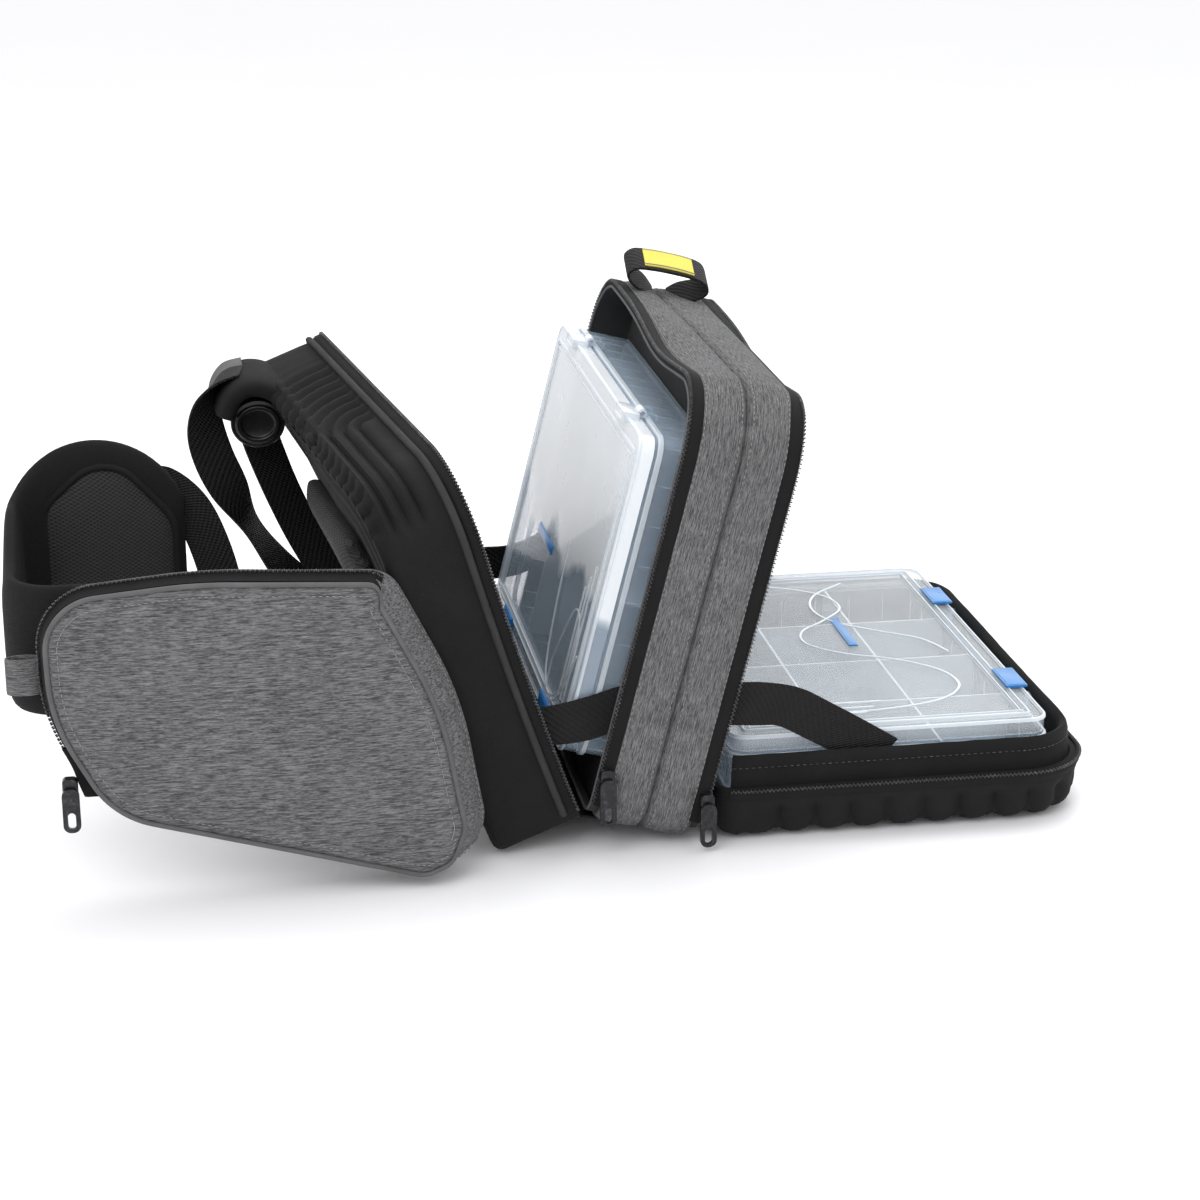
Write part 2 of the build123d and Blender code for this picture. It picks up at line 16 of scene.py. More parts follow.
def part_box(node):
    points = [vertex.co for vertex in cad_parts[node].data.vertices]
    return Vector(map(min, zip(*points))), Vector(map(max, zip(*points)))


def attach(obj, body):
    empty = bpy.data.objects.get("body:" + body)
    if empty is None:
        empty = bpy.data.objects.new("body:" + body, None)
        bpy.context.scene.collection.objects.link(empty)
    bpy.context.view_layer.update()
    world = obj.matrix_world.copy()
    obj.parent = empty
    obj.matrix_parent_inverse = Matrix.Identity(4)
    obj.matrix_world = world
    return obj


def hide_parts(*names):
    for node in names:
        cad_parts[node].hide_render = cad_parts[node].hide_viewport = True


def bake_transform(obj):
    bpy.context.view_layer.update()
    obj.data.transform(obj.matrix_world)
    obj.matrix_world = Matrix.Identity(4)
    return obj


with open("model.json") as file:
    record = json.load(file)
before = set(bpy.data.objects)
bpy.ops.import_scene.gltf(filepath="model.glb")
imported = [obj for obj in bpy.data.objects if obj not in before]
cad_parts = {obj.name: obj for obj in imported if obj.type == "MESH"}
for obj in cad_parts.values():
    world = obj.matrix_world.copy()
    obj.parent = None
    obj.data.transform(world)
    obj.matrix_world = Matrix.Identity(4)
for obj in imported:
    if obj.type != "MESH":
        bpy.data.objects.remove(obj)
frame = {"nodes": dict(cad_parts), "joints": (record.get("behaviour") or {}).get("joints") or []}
scene = bpy.context.scene
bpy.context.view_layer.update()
joints = {joint["name"]: joint for joint in frame["joints"]}
nodes = frame["nodes"]


def placed(name, data):
    """Puts a new object of this name into the scene."""
    made = bpy.data.objects.new(name, data)
    scene.collection.objects.link(made)
    return made


# %% [markdown]
# ## Camera, floor and light
# The camera stands low and to the side, a long lens away, so that the three sections read one
# behind the other. A pale floor that fades into a white surround and three large soft lamps give
# the even light of a product table. Large lamps are chosen because small ones would cut hard
# shadows into black cloth.

# %% Camera, floor and lamps
camera = placed("camera", bpy.data.cameras.new("camera"))
camera.location = (-0.3979, -1.4810, 0.6041)
camera.rotation_euler = (radians(71.2), 0, radians(-9.6))
camera.data.lens = 81
camera.data.sensor_width = 36
scene.camera = camera
scene.view_settings.view_transform = "Standard"

lit_spot = Vector((-0.15, 0, 0.1))
for name, place, power, size in (
    ("window_lamp", (-0.9, -1.3, 1.5), 9, 1.0),
    ("top_lamp", (0.2, 0.3, 1.9), 14, 1.2),
    ("back_lamp", (0.6, 1.6, 1.1), 8, 1.2),
):
    lamp = placed(name, bpy.data.lights.new(name, "AREA"))
    lamp.data.energy, lamp.data.size = power, size
    lamp.location = place
    lamp.rotation_euler = (lit_spot - Vector(place)).to_track_quat("-Z", "Y").to_euler()

world = bpy.data.worlds.new("white_surround")
world.use_nodes = True
background = world.node_tree.nodes["Background"]
background.inputs["Color"].default_value = (1, 1, 1, 1)
background.inputs["Strength"].default_value = 1.0
scene.world = world
print("camera at", tuple(camera.location))

# %% [markdown]
# ## Shader arithmetic
# A finish is a small calculation: streaks times fibres plus weave. Written as node graphs such
# sums are hard to read, so one class wraps a socket and lets Python's own signs add the Math
# nodes, and another builds every other node from its type, its settings and its sockets.

# %% Sockets that add up, and a finish that holds them
class Signal:
    """A node's output that can be used in sums."""

    def __init__(self, finish, socket):
        self.finish, self.socket = finish, socket

    def math(self, operation, *values):
        return self.finish.node("ShaderNodeMath", {"operation": operation}, dict(enumerate(values)))

    def __add__(self, other):
        return self.math("ADD", self, other)

    def __sub__(self, other):
        return self.math("SUBTRACT", self, other)

    def __rsub__(self, other):
        return self.math("SUBTRACT", other, self)

    def __mul__(self, other):
        return self.math("MULTIPLY", self, other)

    __radd__, __rmul__ = __add__, __mul__

    def sine(self):
        return self.math("SINE", self)

    def size(self):
        return self.math("ABSOLUTE", self)

    def between(self, low, high):
        """0 below low, 1 above high, and a soft step from one to the other."""
        limits = {"From Min": low, "From Max": high}
        settings = {"interpolation_type": "SMOOTHSTEP"}
        return self.finish.node("ShaderNodeMapRange", settings, {"Value": self, **limits})


class Finish:
    """One procedural material: its shader, its nodes and what feeds them."""

    def __init__(self, name, roughness=0.5, **sockets):
        self.material = bpy.data.materials.new(name)
        self.material.use_nodes = True
        self.tree = self.material.node_tree
        self.shader = self.tree.nodes["Principled BSDF"]
        self.set(Roughness=roughness, **sockets)

    def feed(self, socket, value):
        if isinstance(value, Signal):
            self.tree.links.new(value.socket, socket)
        else:
            socket.default_value = value

    def node(self, kind, settings=None, sockets=None, output=0):
        made = self.tree.nodes.new(kind)
        for name, value in (settings or {}).items():
            setattr(made, name, value)
        for name, value in (sockets or {}).items():
            self.feed(made.inputs[name], value)
        return Signal(self, made.outputs[output])

    def set(self, **sockets):
        """Sets the shader's own sockets; an underscore stands for a space."""
        for name, value in sockets.items():
            self.feed(self.shader.inputs[name.replace("_", " ")], value)

    def place(self):
        return self.node("ShaderNodeTexCoord", output="Object")

    def cloth(self):
        return self.node("ShaderNodeUVMap", {"uv_map": "Cloth"})

    def stretched(self, where, scale, turn=0.0):
        sockets = {"Vector": where, "Scale": scale, "Rotation": (0, 0, turn)}
        return self.node("ShaderNodeMapping", None, sockets)

    def grain(self, where, scale=1.0, detail=2.0, rough=0.5):
        sockets = {"Vector": where, "Scale": scale, "Detail": detail, "Roughness": rough}
        return self.node("ShaderNodeTexNoise", None, sockets, output="Fac")

    def part(self, where, axis):
        return self.node("ShaderNodeSeparateXYZ", None, {0: where}, output=axis)

    def mix(self, share, low, high):
        sockets = {"Factor": share, 6: low, 7: high}
        return self.node("ShaderNodeMix", {"data_type": "RGBA"}, sockets, output=2)

    def bump(self, height, depth, strength=1.0):
        sockets = {"Height": height, "Distance": depth, "Strength": strength}
        self.set(Normal=self.node("ShaderNodeBump", None, sockets))


def grey(level):
    return (level, level, level * 1.02, 1)


# %% [markdown]
# ## Cloth finishes
# The grey cloth is woven from dark and light yarns twisted together, so it shows short streaks
# along the yarn. Two stretched noises make the streaks and the fibres, and a fine weave gives
# the bump. On the pocket the yarn lies level, so the pattern reads the object's own axes; on
# the gussets it follows the band, so it reads the piece's UV map, which is in metres.

# %% Grey melange
def grey_cloth(name, on_band):
    cloth = Finish(name, roughness=0.9, Specular_IOR_Level=0.2)
    where = cloth.cloth() if on_band else cloth.place()
    long_way = (130, 1500, 1500) if on_band else (140, 500, 1500)
    fine_way = (500, 2600, 2600) if on_band else (480, 1200, 2900)
    streaks = cloth.grain(cloth.stretched(where, long_way), detail=3, rough=0.62)
    fibres = cloth.grain(cloth.stretched(where, fine_way), detail=1)
    patches = cloth.grain(where, scale=35, detail=1)
    tone = (streaks * 1.25 + fibres * 0.55 + patches * 0.12 - 0.5).between(0.12, 0.88)
    cloth.set(Base_Color=cloth.mix(tone, grey(0.038), grey(0.235)))
    cloth.bump(fibres + streaks, 0.0004, 0.7)
    return cloth.material


pocket_cloth = grey_cloth("grey_pocket_cloth", False)
band_cloth = grey_cloth("grey_band_cloth", True)
print("grey cloth:", pocket_cloth.name, band_cloth.name)

# %% [markdown]
# ## Black cloth, lining, webbing and mesh
# The black parts differ only in their weave: a fine knit bonded to foam on the moulded shells,
# a plain cloth on the pads, a smoother lining inside, a ribbed twill on the webbing and an
# open diamond mesh on the wing's tip. Each weave is two crossing waves, which is how a loom
# makes it, and costs nothing to render.

# %% Woven finishes
def greys(level):
    """The dark and the light shade of a cloth, round one mean grey."""
    return grey(level * 0.55), grey(level * 1.6)


def woven(name, shades, pitch, depth, on_band=False, roughness=0.85, twill=False, slub=0.35):
    cloth = Finish(name, roughness=roughness, Specular_IOR_Level=0.2)
    where = cloth.cloth() if on_band else cloth.place()
    turns = 2 * pi / pitch
    across, along = cloth.part(where, "X"), cloth.part(where, "Y")
    if not on_band:
        along = along + cloth.part(where, "Z")
    if twill:
        weave = ((across + along) * turns).sine() * 0.5 + ((across - along) * turns * 0.5).sine() * 0.5
    else:
        weave = (across * turns).sine() * (along * turns).sine()
    worn = cloth.grain(where, scale=45, detail=4, rough=0.6)
    shade = (worn * slub + weave * 0.18 + (0.5 - slub / 2)).between(0, 1)
    cloth.set(Base_Color=cloth.mix(shade, *shades))
    cloth.set(Roughness=roughness - worn * 0.12)
    cloth.bump(weave + worn * 0.5, depth, 0.8)
    return cloth.material


shell_cloth = woven("black_moulded_cloth", greys(0.0095), 0.0011, 0.00012)
pad_cloth = woven("black_pad_cloth", greys(0.0085), 0.0012, 0.00015)
lining_cloth = woven("charcoal_lining", greys(0.032), 0.0008, 0.00006, slub=0.25)
tape_cloth = woven("zipper_tape_cloth", greys(0.0075), 0.0009, 0.00012, on_band=True)
strap_cloth = woven("ribbed_webbing", greys(0.011), 0.0021, 0.0005, on_band=True, roughness=0.7, twill=True)
piping_cloth = woven("grey_piping", greys(0.11), 0.0010, 0.00012, on_band=True, slub=0.6)
dark_piping = woven("dark_piping", greys(0.034), 0.0010, 0.00012, on_band=True, slub=0.6)
yellow_shades = (0.62, 0.5, 0.05, 1), (0.9, 0.8, 0.2, 1)
yellow_cloth = woven("yellow_patch_cloth", yellow_shades, 0.0009, 0.0001, slub=0.3)
thread = Finish("grey_thread", roughness=0.6, Base_Color=grey(0.24))
thread.bump(thread.grain(thread.place(), scale=4000, detail=1), 0.0001)


def diamond_mesh():
    mesh = Finish("diamond_mesh", roughness=0.75)
    where = mesh.place()
    up, across = mesh.part(where, "Z"), mesh.part(where, "X") + mesh.part(where, "Y")
    cords = ((up * 1.6 + across) * 900).sine().size() * ((up * 1.6 - across) * 900).sine().size()
    hole = cords.between(0.25, 0.6)
    mesh.set(Base_Color=mesh.mix(hole, grey(0.03), grey(0.003)))
    mesh.bump(1 - hole, 0.0008)
    return mesh.material


mesh_cloth = diamond_mesh()
print("woven cloths made")

# %% [markdown]
# ## Plastics and metal
# The boxes are clear polypropylene: bluish where you look through an edge, milky where the lid
# is frosted, with painted light on the upright lid's top and painted shade below. A share of
# see-through alpha is used instead of refraction, because thin walls bend light very little and
# alpha stays clean in every renderer. Fine scuffs break the gloss.

# %% Clear, frosted, blue and black plastic
def clear(name, tint, alpha, edge_alpha, roughness=0.12):
    plastic = Finish(name, roughness=roughness, Coat_Weight=0.3, Base_Color=tint)
    rim = plastic.node("ShaderNodeLayerWeight", None, {"Blend": 0.35}, output="Facing")
    scuff = plastic.grain(plastic.place(), scale=60, detail=3, rough=0.6)
    plastic.set(Alpha=(rim * (edge_alpha - alpha) + alpha) + (scuff - 0.5) * 0.02)
    plastic.set(Roughness=scuff * 0.16 + roughness)
    plastic.bump(scuff, 0.00002, 0.1)
    return plastic.material


box_plastic = clear("clear_box_plastic", (0.55, 0.68, 0.82, 1), 0.17, 0.5)
plate_plastic = clear("clear_divider_plastic", (0.76, 0.86, 0.95, 1), 0.36, 0.85)
rim_plastic = clear("clear_rim_plastic", (0.84, 0.90, 0.96, 1), 0.42, 0.85)


def frosted(name, alpha, low_alpha, foot, top, tint=(0.88, 0.92, 0.95, 1)):
    """Milky frosted plastic, painted light above a ragged line between two heights; below it, thinner,
    clearer and painted shade.
    """
    plastic = Finish(name, roughness=0.3, Coat_Weight=0.2)
    where = plastic.place()
    cloud = plastic.grain(where, scale=14, detail=3)
    scuff = plastic.grain(where, scale=40, detail=3, rough=0.6)
    # Painted light and shade: above the line the plastic is painted milky white and more opaque, below it
    # painted bluish shade and clearer.
    frost_and_painted_light = (plastic.part(where, "Z") + (cloud - 0.5) * 0.09).between(foot, top)
    plastic.set(Base_Color=plastic.mix(frost_and_painted_light, (0.55, 0.66, 0.78, 1), tint))
    plastic.set(Alpha=frost_and_painted_light * (alpha - low_alpha) + low_alpha + (cloud - 0.5) * 0.06)
    plastic.set(Roughness=scuff * 0.2 + 0.2)
    plastic.bump(scuff, 0.00002, 0.1)
    return plastic.material


flat_lid_plastic = frosted("frosted_flat_lid", 0.20, 0.18, 0.0, 0.05)
# The upright lid is painted white above about 0.12 m as painted light and bluish below as painted shade; the
# flat lid lies mostly above its line, so it is evenly frosted.
upright_lid_plastic = frosted("frosted_upright_lid_painted_light", 0.82, 0.3, 0.118, 0.132, (0.92, 0.96, 1, 1))


def gloss(name, colour, roughness, wear=0.1, metallic=0.0):
    plastic = Finish(name, roughness=roughness, Metallic=metallic)
    scuff = plastic.grain(plastic.place(), scale=300, detail=5, rough=0.7)
    light = tuple(min(1, c * (1 + wear * 6) + wear * 0.05) for c in colour) + (1,)
    plastic.set(Base_Color=plastic.mix(scuff.between(0.45, 0.8), colour + (1,), light))
    plastic.set(Roughness=scuff * 0.2 + roughness - 0.1)
    plastic.bump(scuff, 0.00003, 0.2)
    return plastic.material


blue_plastic = gloss("blue_latch_plastic", (0.012, 0.19, 0.52), 0.3, 0.02)
black_metal = gloss("black_coated_metal", (0.02, 0.02, 0.022), 0.3, 0.3, 0.6)
black_plastic = gloss("black_buckle_plastic", (0.012, 0.012, 0.013), 0.2, 0.02)
tooth_plastic = gloss("zipper_tooth_plastic", (0.035, 0.035, 0.038), 0.35, 0.5)
floor_paint = Finish("pale_floor", roughness=0.6)
floor_grain = floor_paint.grain(floor_paint.place(), scale=3, detail=2)
floor_paint.set(Base_Color=floor_paint.mix(floor_grain, grey(0.94), grey(0.97)))
print("plastics made")

# %% The floor
bpy.ops.object.select_all(action="DESELECT")
bpy.ops.mesh.primitive_plane_add(size=12, location=(0, 0, -0.001))
floor = bpy.context.object
floor.name = "floor"
bpy.ops.object.transform_apply(location=True, rotation=True, scale=True)
floor.data.materials.append(floor_paint.material)

# %% [markdown]
# ## Sections and outlines
# Each zipped section is a rounded rectangle that stands on its hinge edge. Its frame has x
# along the hinge, y away from it and a depth inwards, so one set of tools builds all three.
# The hinge lines come from the model's own joints. Outlines are walked in even steps, because
# ribs, teeth and stitches are spaced by length along the seam.

# %% Section frames
class Section:
    """A place with its own x, y and depth directions."""

    def __init__(self, origin, along, up, inwards):
        self.origin, self.along, self.up, self.inwards = map(Vector, (origin, along, up, inwards))

    def at(self, x, y, depth):
        return self.origin + self.along * x + self.up * y + self.inwards * depth + self.slump(x, y)

    def slump(self, x, y):
        """How far the section's soft shape has moved from the flat one."""
        return Vector((0, 0, 0))

    def turn(self, vector):
        return self.along * vector.x + self.up * vector.y


class SlumpedSection(Section):
    """The back shell's frame: propped open, its far corner drops back and its near one sinks."""

    def slump(self, x, y):
        reach = max(0.0, y / shell_height) ** 1.5
        near = x / (2 * half_width) + 0.5
        return Vector((-0.032 + 0.055 * near, -0.017 * near, -0.006 - 0.011 * near)) * reach


tray_low, tray_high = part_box("front_shell")
half_width, tray_depth = tray_high.y, tray_high.z
tray_length = tray_high.x - tray_low.x
centre_lean, shell_lean = radians(14), radians(22)
shell_depth, shell_height = 0.052, 0.238
rear_hinge = Vector(joints["back_fold"]["pos_m"])
tray_hinge = Vector(joints["tray_fold"]["pos_m"])
below_tray, above_tray = 0.030, 0.0015
centre_height = below_tray + tray_length + above_tray
tray = Section((-tray_length / 2, 0, tray_depth), (0, 1, 0), (1, 0, 0), (0, 0, -1))
centre = Section(
    rear_hinge, (0, 1, 0),
    (sin(centre_lean), 0, cos(centre_lean)), (cos(centre_lean), 0, -sin(centre_lean)),
)
back = SlumpedSection(
    rear_hinge, (0, -1, 0),
    (-sin(shell_lean), 0, cos(shell_lean)), (-cos(shell_lean), 0, -sin(shell_lean)),
)
wing_y = -half_width - 0.003
wing = Section((rear_hinge.x, wing_y, rear_hinge.z), (1, 0, 0), (0, 0, 1), (0, -1, 0))
print("rear hinge", tuple(rear_hinge), "tray hinge", tuple(tray_hinge))

# %% Walking round an outline
def arc(corner, before, after, radius, step):
    """The rounded corner between two straight edges."""
    back_way, on_way = (before - corner).normalized(), (after - corner).normalized()
    half = back_way.angle(on_way) / 2
    middle = corner + (back_way + on_way).normalized() * radius / sin(half)
    first = corner + back_way * radius / tan(half) - middle
    last = corner + on_way * radius / tan(half) - middle
    sweep = pi - 2 * half
    count = max(2, ceil(sweep * radius / step))
    return [
        middle + (first * sin((1 - k / count) * sweep) + last * sin(k / count * sweep)) / sin(sweep)
        for k in range(count + 1)
    ]


def outline(corners, radii, step=0.004, above=None):
    """Even steps round a rounded outline: (point, outward direction, distance along)."""
    corners = [Vector(c) for c in corners]
    area = sum(a.x * b.y - b.x * a.y for a, b in zip(corners, corners[1:] + corners[:1]))
    if area < 0:
        corners, radii = corners[::-1], list(radii)[::-1]
    dense = []
    for i, (corner, radius) in enumerate(zip(corners, radii)):
        dense += arc(corner, corners[i - 1], corners[(i + 1) % len(corners)], radius, step)
    dense.append(dense[0])
    runs = [0.0]
    for a, b in zip(dense, dense[1:]):
        runs.append(runs[-1] + (b - a).length)
    count = round(runs[-1] / step)
    points, k = [], 0
    for i in range(count):
        run = runs[-1] * i / count
        while runs[k + 1] < run:
            k += 1
        share = (run - runs[k]) / max(runs[k + 1] - runs[k], 1e-9)
        points.append(dense[k].lerp(dense[k + 1], share))
    walk = []
    for i, point in enumerate(points):
        way = (points[(i + 1) % count] - points[i - 1]).normalized()
        walk.append((point, Vector((way.y, -way.x)), runs[-1] * i / count))
    return walk if above is None else part_of(walk, lambda point: point.y >= above)


def part_of(walk, keep):
    """The stretch of a closed walk whose points are kept, with its distances from its own start."""
    start = next(i for i in range(len(walk)) if keep(walk[i][0]) and not keep(walk[i - 1][0]))
    turned = walk[start:] + walk[:start]
    step = walk[1][2] - walk[0][2]
    kept = [(point, out) for point, out, _ in turned if keep(point)]
    return [(point, out, step * i) for i, (point, out) in enumerate(kept)]


def rectangle(half, low, high):
    return (-half, low), (half, low), (half, high), (-half, high)


def section_outline(height, above=None, step=0.004, near=0.014, far=0.040):
    return outline(rectangle(half_width, 0, height), (near, near, far, far), step, above)


print("tray outline", len(section_outline(tray_length)), "steps")

# %% [markdown]
# ## Skins, sweeps and bands
# Sewn goods are flat cloth wrapped round a path, which primitives and extrusions can't follow
# round corners while puckering. A skin between rings of points can: a sweep carries one
# cross-section round an outline, and a band carries a rounded strip along a smooth line. Both
# write a UV map in metres, so a weave follows the cloth as it was cut.

# %% Skin between rings
def only(piece):
    bpy.ops.object.select_all(action="DESELECT")
    piece.select_set(True)
    bpy.context.view_layer.objects.active = piece


def smooth(piece, sharp=38):
    only(piece)
    bpy.ops.object.shade_smooth_by_angle(angle=radians(sharp))
    return piece


def as_piece(name, mesh, sharp=38):
    bmesh.ops.recalc_face_normals(mesh, faces=mesh.faces)
    data = bpy.data.meshes.new(name)
    mesh.to_mesh(data)
    mesh.free()
    return smooth(placed(name, data), sharp)


def skin(name, rings, closed=False, sharp=38):
    """A closed surface through rings of points; the last ring joins the first, or both get caps."""
    mesh = bmesh.new()
    cloth = mesh.loops.layers.uv.new("Cloth")
    verts = [[mesh.verts.new(p) for p in ring] for ring in rings]
    around = [0.0]
    for a, b in zip(rings[0], rings[0][1:] + rings[0][:1]):
        around.append(around[-1] + (b - a).length)
    run, size = 0.0, len(rings[0])
    for i in range(len(rings) if closed else len(rings) - 1):
        j = (i + 1) % len(rings)
        onwards = run + (rings[j][0] - rings[i][0]).length
        for k in range(size):
            n = (k + 1) % size
            face = mesh.faces.new((verts[i][k], verts[i][n], verts[j][n], verts[j][k]))
            spots = ((run, around[k]), (run, around[k + 1]), (onwards, around[k + 1]), (onwards, around[k]))
            for loop, spot in zip(face.loops, spots):
                loop[cloth].uv = spot
        run = onwards
    if not closed:
        for ring in (verts[0], verts[-1]):
            face = mesh.faces.new(ring)
            for loop in face.loops:
                loop[cloth].uv = (loop.vert.co.y, loop.vert.co.x + loop.vert.co.z)
    return as_piece(name, mesh, sharp)


def swept(name, section, walk, profile, closed=False, sharp=38):
    """Carries profile(point, out, run), a ring of (outwards, depth) pairs, round an outline."""
    rings = [
        [section.at(*(point + out * o), d) for o, d in profile(point, out, run)]
        for point, out, run in walk
    ]
    return skin(name, rings, closed, sharp)


def lofted(name, section, walk, levels, middle, sharp=38):
    """A closed form through levels of (scale, spot); spot gives an outward distance and a depth."""
    middle, rings = Vector(middle), []
    for scale, spot in levels:
        ring = []
        for point, out, run in walk:
            outwards, depth = spot(point, out, run)
            ring.append(section.at(*(middle + (point + out * outwards - middle) * scale), depth))
        rings.append(ring)
    return skin(name, rings, False, sharp)


def flat_levels(outwards, *levels):
    """Levels of (scale, depth), all at one outward distance."""
    return [(scale, lambda point, out, run, depth=depth: (outwards, depth)) for scale, depth in levels]


def round_bar(radius, out, depth, sides=8):
    """The cross-section of a piping: a small circle at an outward distance and a depth."""
    ring = [
        (out + radius * cos(2 * pi * k / sides), depth + radius * sin(2 * pi * k / sides))
        for k in range(sides)
    ]
    return lambda point, out_way, run: ring


def own(piece, body, material, stands_for=()):
    """Finishes a piece: its material, the body it moves with and the nodes it stands for; a tuple of bodies
    leaves it fixed in place.
    """
    piece.data.materials.clear()
    piece.data.materials.append(material)
    if isinstance(body, str):
        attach(piece, body)
    else:
        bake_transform(piece)
    if stands_for:
        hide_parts(*stands_for)
    print(piece.name, len(piece.data.polygons), "faces")
    return piece


def power(value, exponent):
    """A power that keeps the sign, which squares off a circle's cosine or sine."""
    return copysign(abs(value) ** exponent, value)


# %% Bands along a smooth line
def along_line(knots, steps):
    """Catmull-Rom points through knots, each a tuple of vectors."""
    out = []
    for i in range(len(knots) - 1):
        a, b, c, d = (knots[max(0, min(len(knots) - 1, i + k))] for k in (-1, 0, 1, 2))
        for s in range(steps):
            t = s / steps
            out.append([
                0.5 * (2 * q + (r - p) * t + (2 * p - 5 * q + 4 * r - w) * t * t
                       + (3 * q - p - 3 * r + w) * t * t * t)
                for p, q, r, w in zip(a, b, c, d)
            ])
    out.append(list(knots[-1]))
    return out


def band(name, knots, thickness, sides=8, square=8.0, steps=10, closed=False, sharp=50):
    """A strip along knots of (middle, half its width as a vector), with rounded edges."""
    knots = [(Vector(m), Vector(w)) for m, w in knots]
    if closed:
        knots = knots[-2:] + knots + knots[:3]
    line = along_line(knots, steps)
    if closed:
        line = line[2 * steps:-3 * steps + steps]
    rings = []
    for i, (middle, half) in enumerate(line):
        way = (line[min(i + 1, len(line) - 1)][0] - line[max(i - 1, 0)][0]).normalized()
        flat = way.cross(half).normalized() * thickness / 2
        ring = []
        for k in range(sides):
            turn = 2 * pi * (k + 0.5) / sides
            ring.append(middle + half * power(cos(turn), 2 / square) + flat * power(sin(turn), 2 / square))
        rings.append(ring)
    return skin(name, rings, closed, sharp)


# %% Teeth and stitches
stitch_size, stitch_pitch, tooth_pitch = (0.0012, 0.0003, 0.0003), 0.0034, 0.00115


def beads(name, section, walk, pitch, size, spot, stagger=0.0):
    """Small rounded beads along an outline: zipper teeth or stitches, a few faces each."""
    seed = bmesh.new()
    bmesh.ops.create_icosphere(seed, subdivisions=1, radius=1)
    shape = [v.co.copy() for v in seed.verts]
    faces = [[v.index for v in f.verts] for f in seed.faces]
    seed.free()
    mesh = bmesh.new()
    number = 0
    for (a, out, run), (b, _, further) in zip(walk, walk[1:]):
        while number * pitch < further:
            point = a.lerp(b, (number * pitch - run) / (further - run))
            outwards, depth = spot(point, out, run)
            depth += stagger * (1 if number % 2 else -1)
            middle = section.at(*(point + out * outwards), depth)
            way, side = section.turn((b - a).normalized()) * size[0], section.turn(out) * size[1]
            verts = [mesh.verts.new(middle + way * v.x + side * v.y + section.inwards * v.z * size[2])
                     for v in shape]
            for face in faces:
                mesh.faces.new([verts[k] for k in face])
            number += 1
    return as_piece(name, mesh, 80)


def level(run, seed, length=0.05):
    """Gentle unevenness along a seam, from -1 to 1."""
    return noise.noise(Vector((run / length, seed, 0.37)))


def soft(value):
    value = max(0.0, min(1.0, value))
    return value * value * (3 - 2 * value)


# %% [markdown]
# ## The moulded tray
# The tray is foam bonded to cloth and pressed in a mould, which leaves round ribs up its sides
# with a sharp crease between them. Cutting ribs into a box would leave hard corners, so the
# wall is one skin whose outline is pulled in at each crease, from a smooth band under the zip
# down to a rounded bottom edge. A padded lip stands inside the opening on three sides.

# %% Tray shell
rib_pitch, rib_depth, tray_round = 0.0205, 0.0042, 0.012


def crease(run, pitch):
    return (1 - abs(sin(pi * run / pitch))) ** 1.5


def tray_wall(outwards, depth, ribs):
    def spot(point, out, run):
        away = soft((point.y - 0.012) / 0.02)
        fold = crease(run, rib_pitch) * away * ribs
        return outwards - rib_depth * fold, depth - 0.0026 * fold * soft((depth - 0.018) / 0.01)
    return spot


bottom = [
    (1, tray_wall(-tray_round * (1 - cos(a)), tray_depth - tray_round + tray_round * sin(a), 1))
    for a in (pi / 2, pi * 0.4, pi * 0.3, pi * 0.2, pi * 0.1)
]
sides = [(1, tray_wall(o, d, r)) for o, d, r in (
    (0, 0.0175, 1), (0, 0.014, 1), (0.0003, 0.0115, 0.75), (0.0006, 0.0095, 0.3),
    (0.0006, 0.0075, 0), (0.0004, 0.003, 0), (0, 0.0004, 0), (-0.0006, 0, 0),
    (-0.0034, 0, 0), (-0.004, 0.0006, 0), (-0.004, 0.025, 0),
)]
tray_middle = (0, tray_length / 2)
tray_walk = section_outline(tray_length, step=0.0025)
levels = flat_levels(-tray_round, (0.9, tray_depth)) + bottom + sides + flat_levels(-0.004, (0.96, 0.026))
tray_shell = lofted("tray_shell", tray, tray_walk, levels, tray_middle)
own(tray_shell, "tray", shell_cloth, ["front_shell"])

# %% Padded lip of the tray
lip_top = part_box("front_lip")[1].z - tray_depth


def lip_profile(point, out, run):
    puff = 0.0006 * level(run, 1) + 0.0003 * level(run, 2, 0.012)
    return [
        (-0.0042, 0.0008), (-0.0048 + puff, -0.003), (-0.0050 + puff, -0.008),
        (-0.0058 + puff, -0.0105), (-0.0054 + puff, -0.013), (-0.0062, -lip_top + 0.0016),
        (-0.0074, -lip_top - puff), (-0.0096, -lip_top + 0.0012), (-0.0111, -0.0135),
        (-0.0113 - puff, -0.008), (-0.0112, -0.002), (-0.0108, 0.0012),
    ]


lip_walk = section_outline(tray_length, above=0.006)
padded_lip = swept("padded_lip", tray, lip_walk, lip_profile, sharp=60)
own(padded_lip, "tray", pad_cloth, ["front_lip"])
lip_stitches = beads("lip_stitches", tray, lip_walk, 0.0036, stitch_size, lambda p, o, r: (-0.0055, -0.0106))
own(lip_stitches, "tray", tooth_plastic)

# %% [markdown]
# ## Zips
# A coil zip is a cloth tape with a plastic coil sewn to its edge; open, it shows as a row of
# small teeth. Each section edge carries half a chain. The tape is a swept strip and the teeth
# are beads of twenty faces each, because there are hundreds of them.

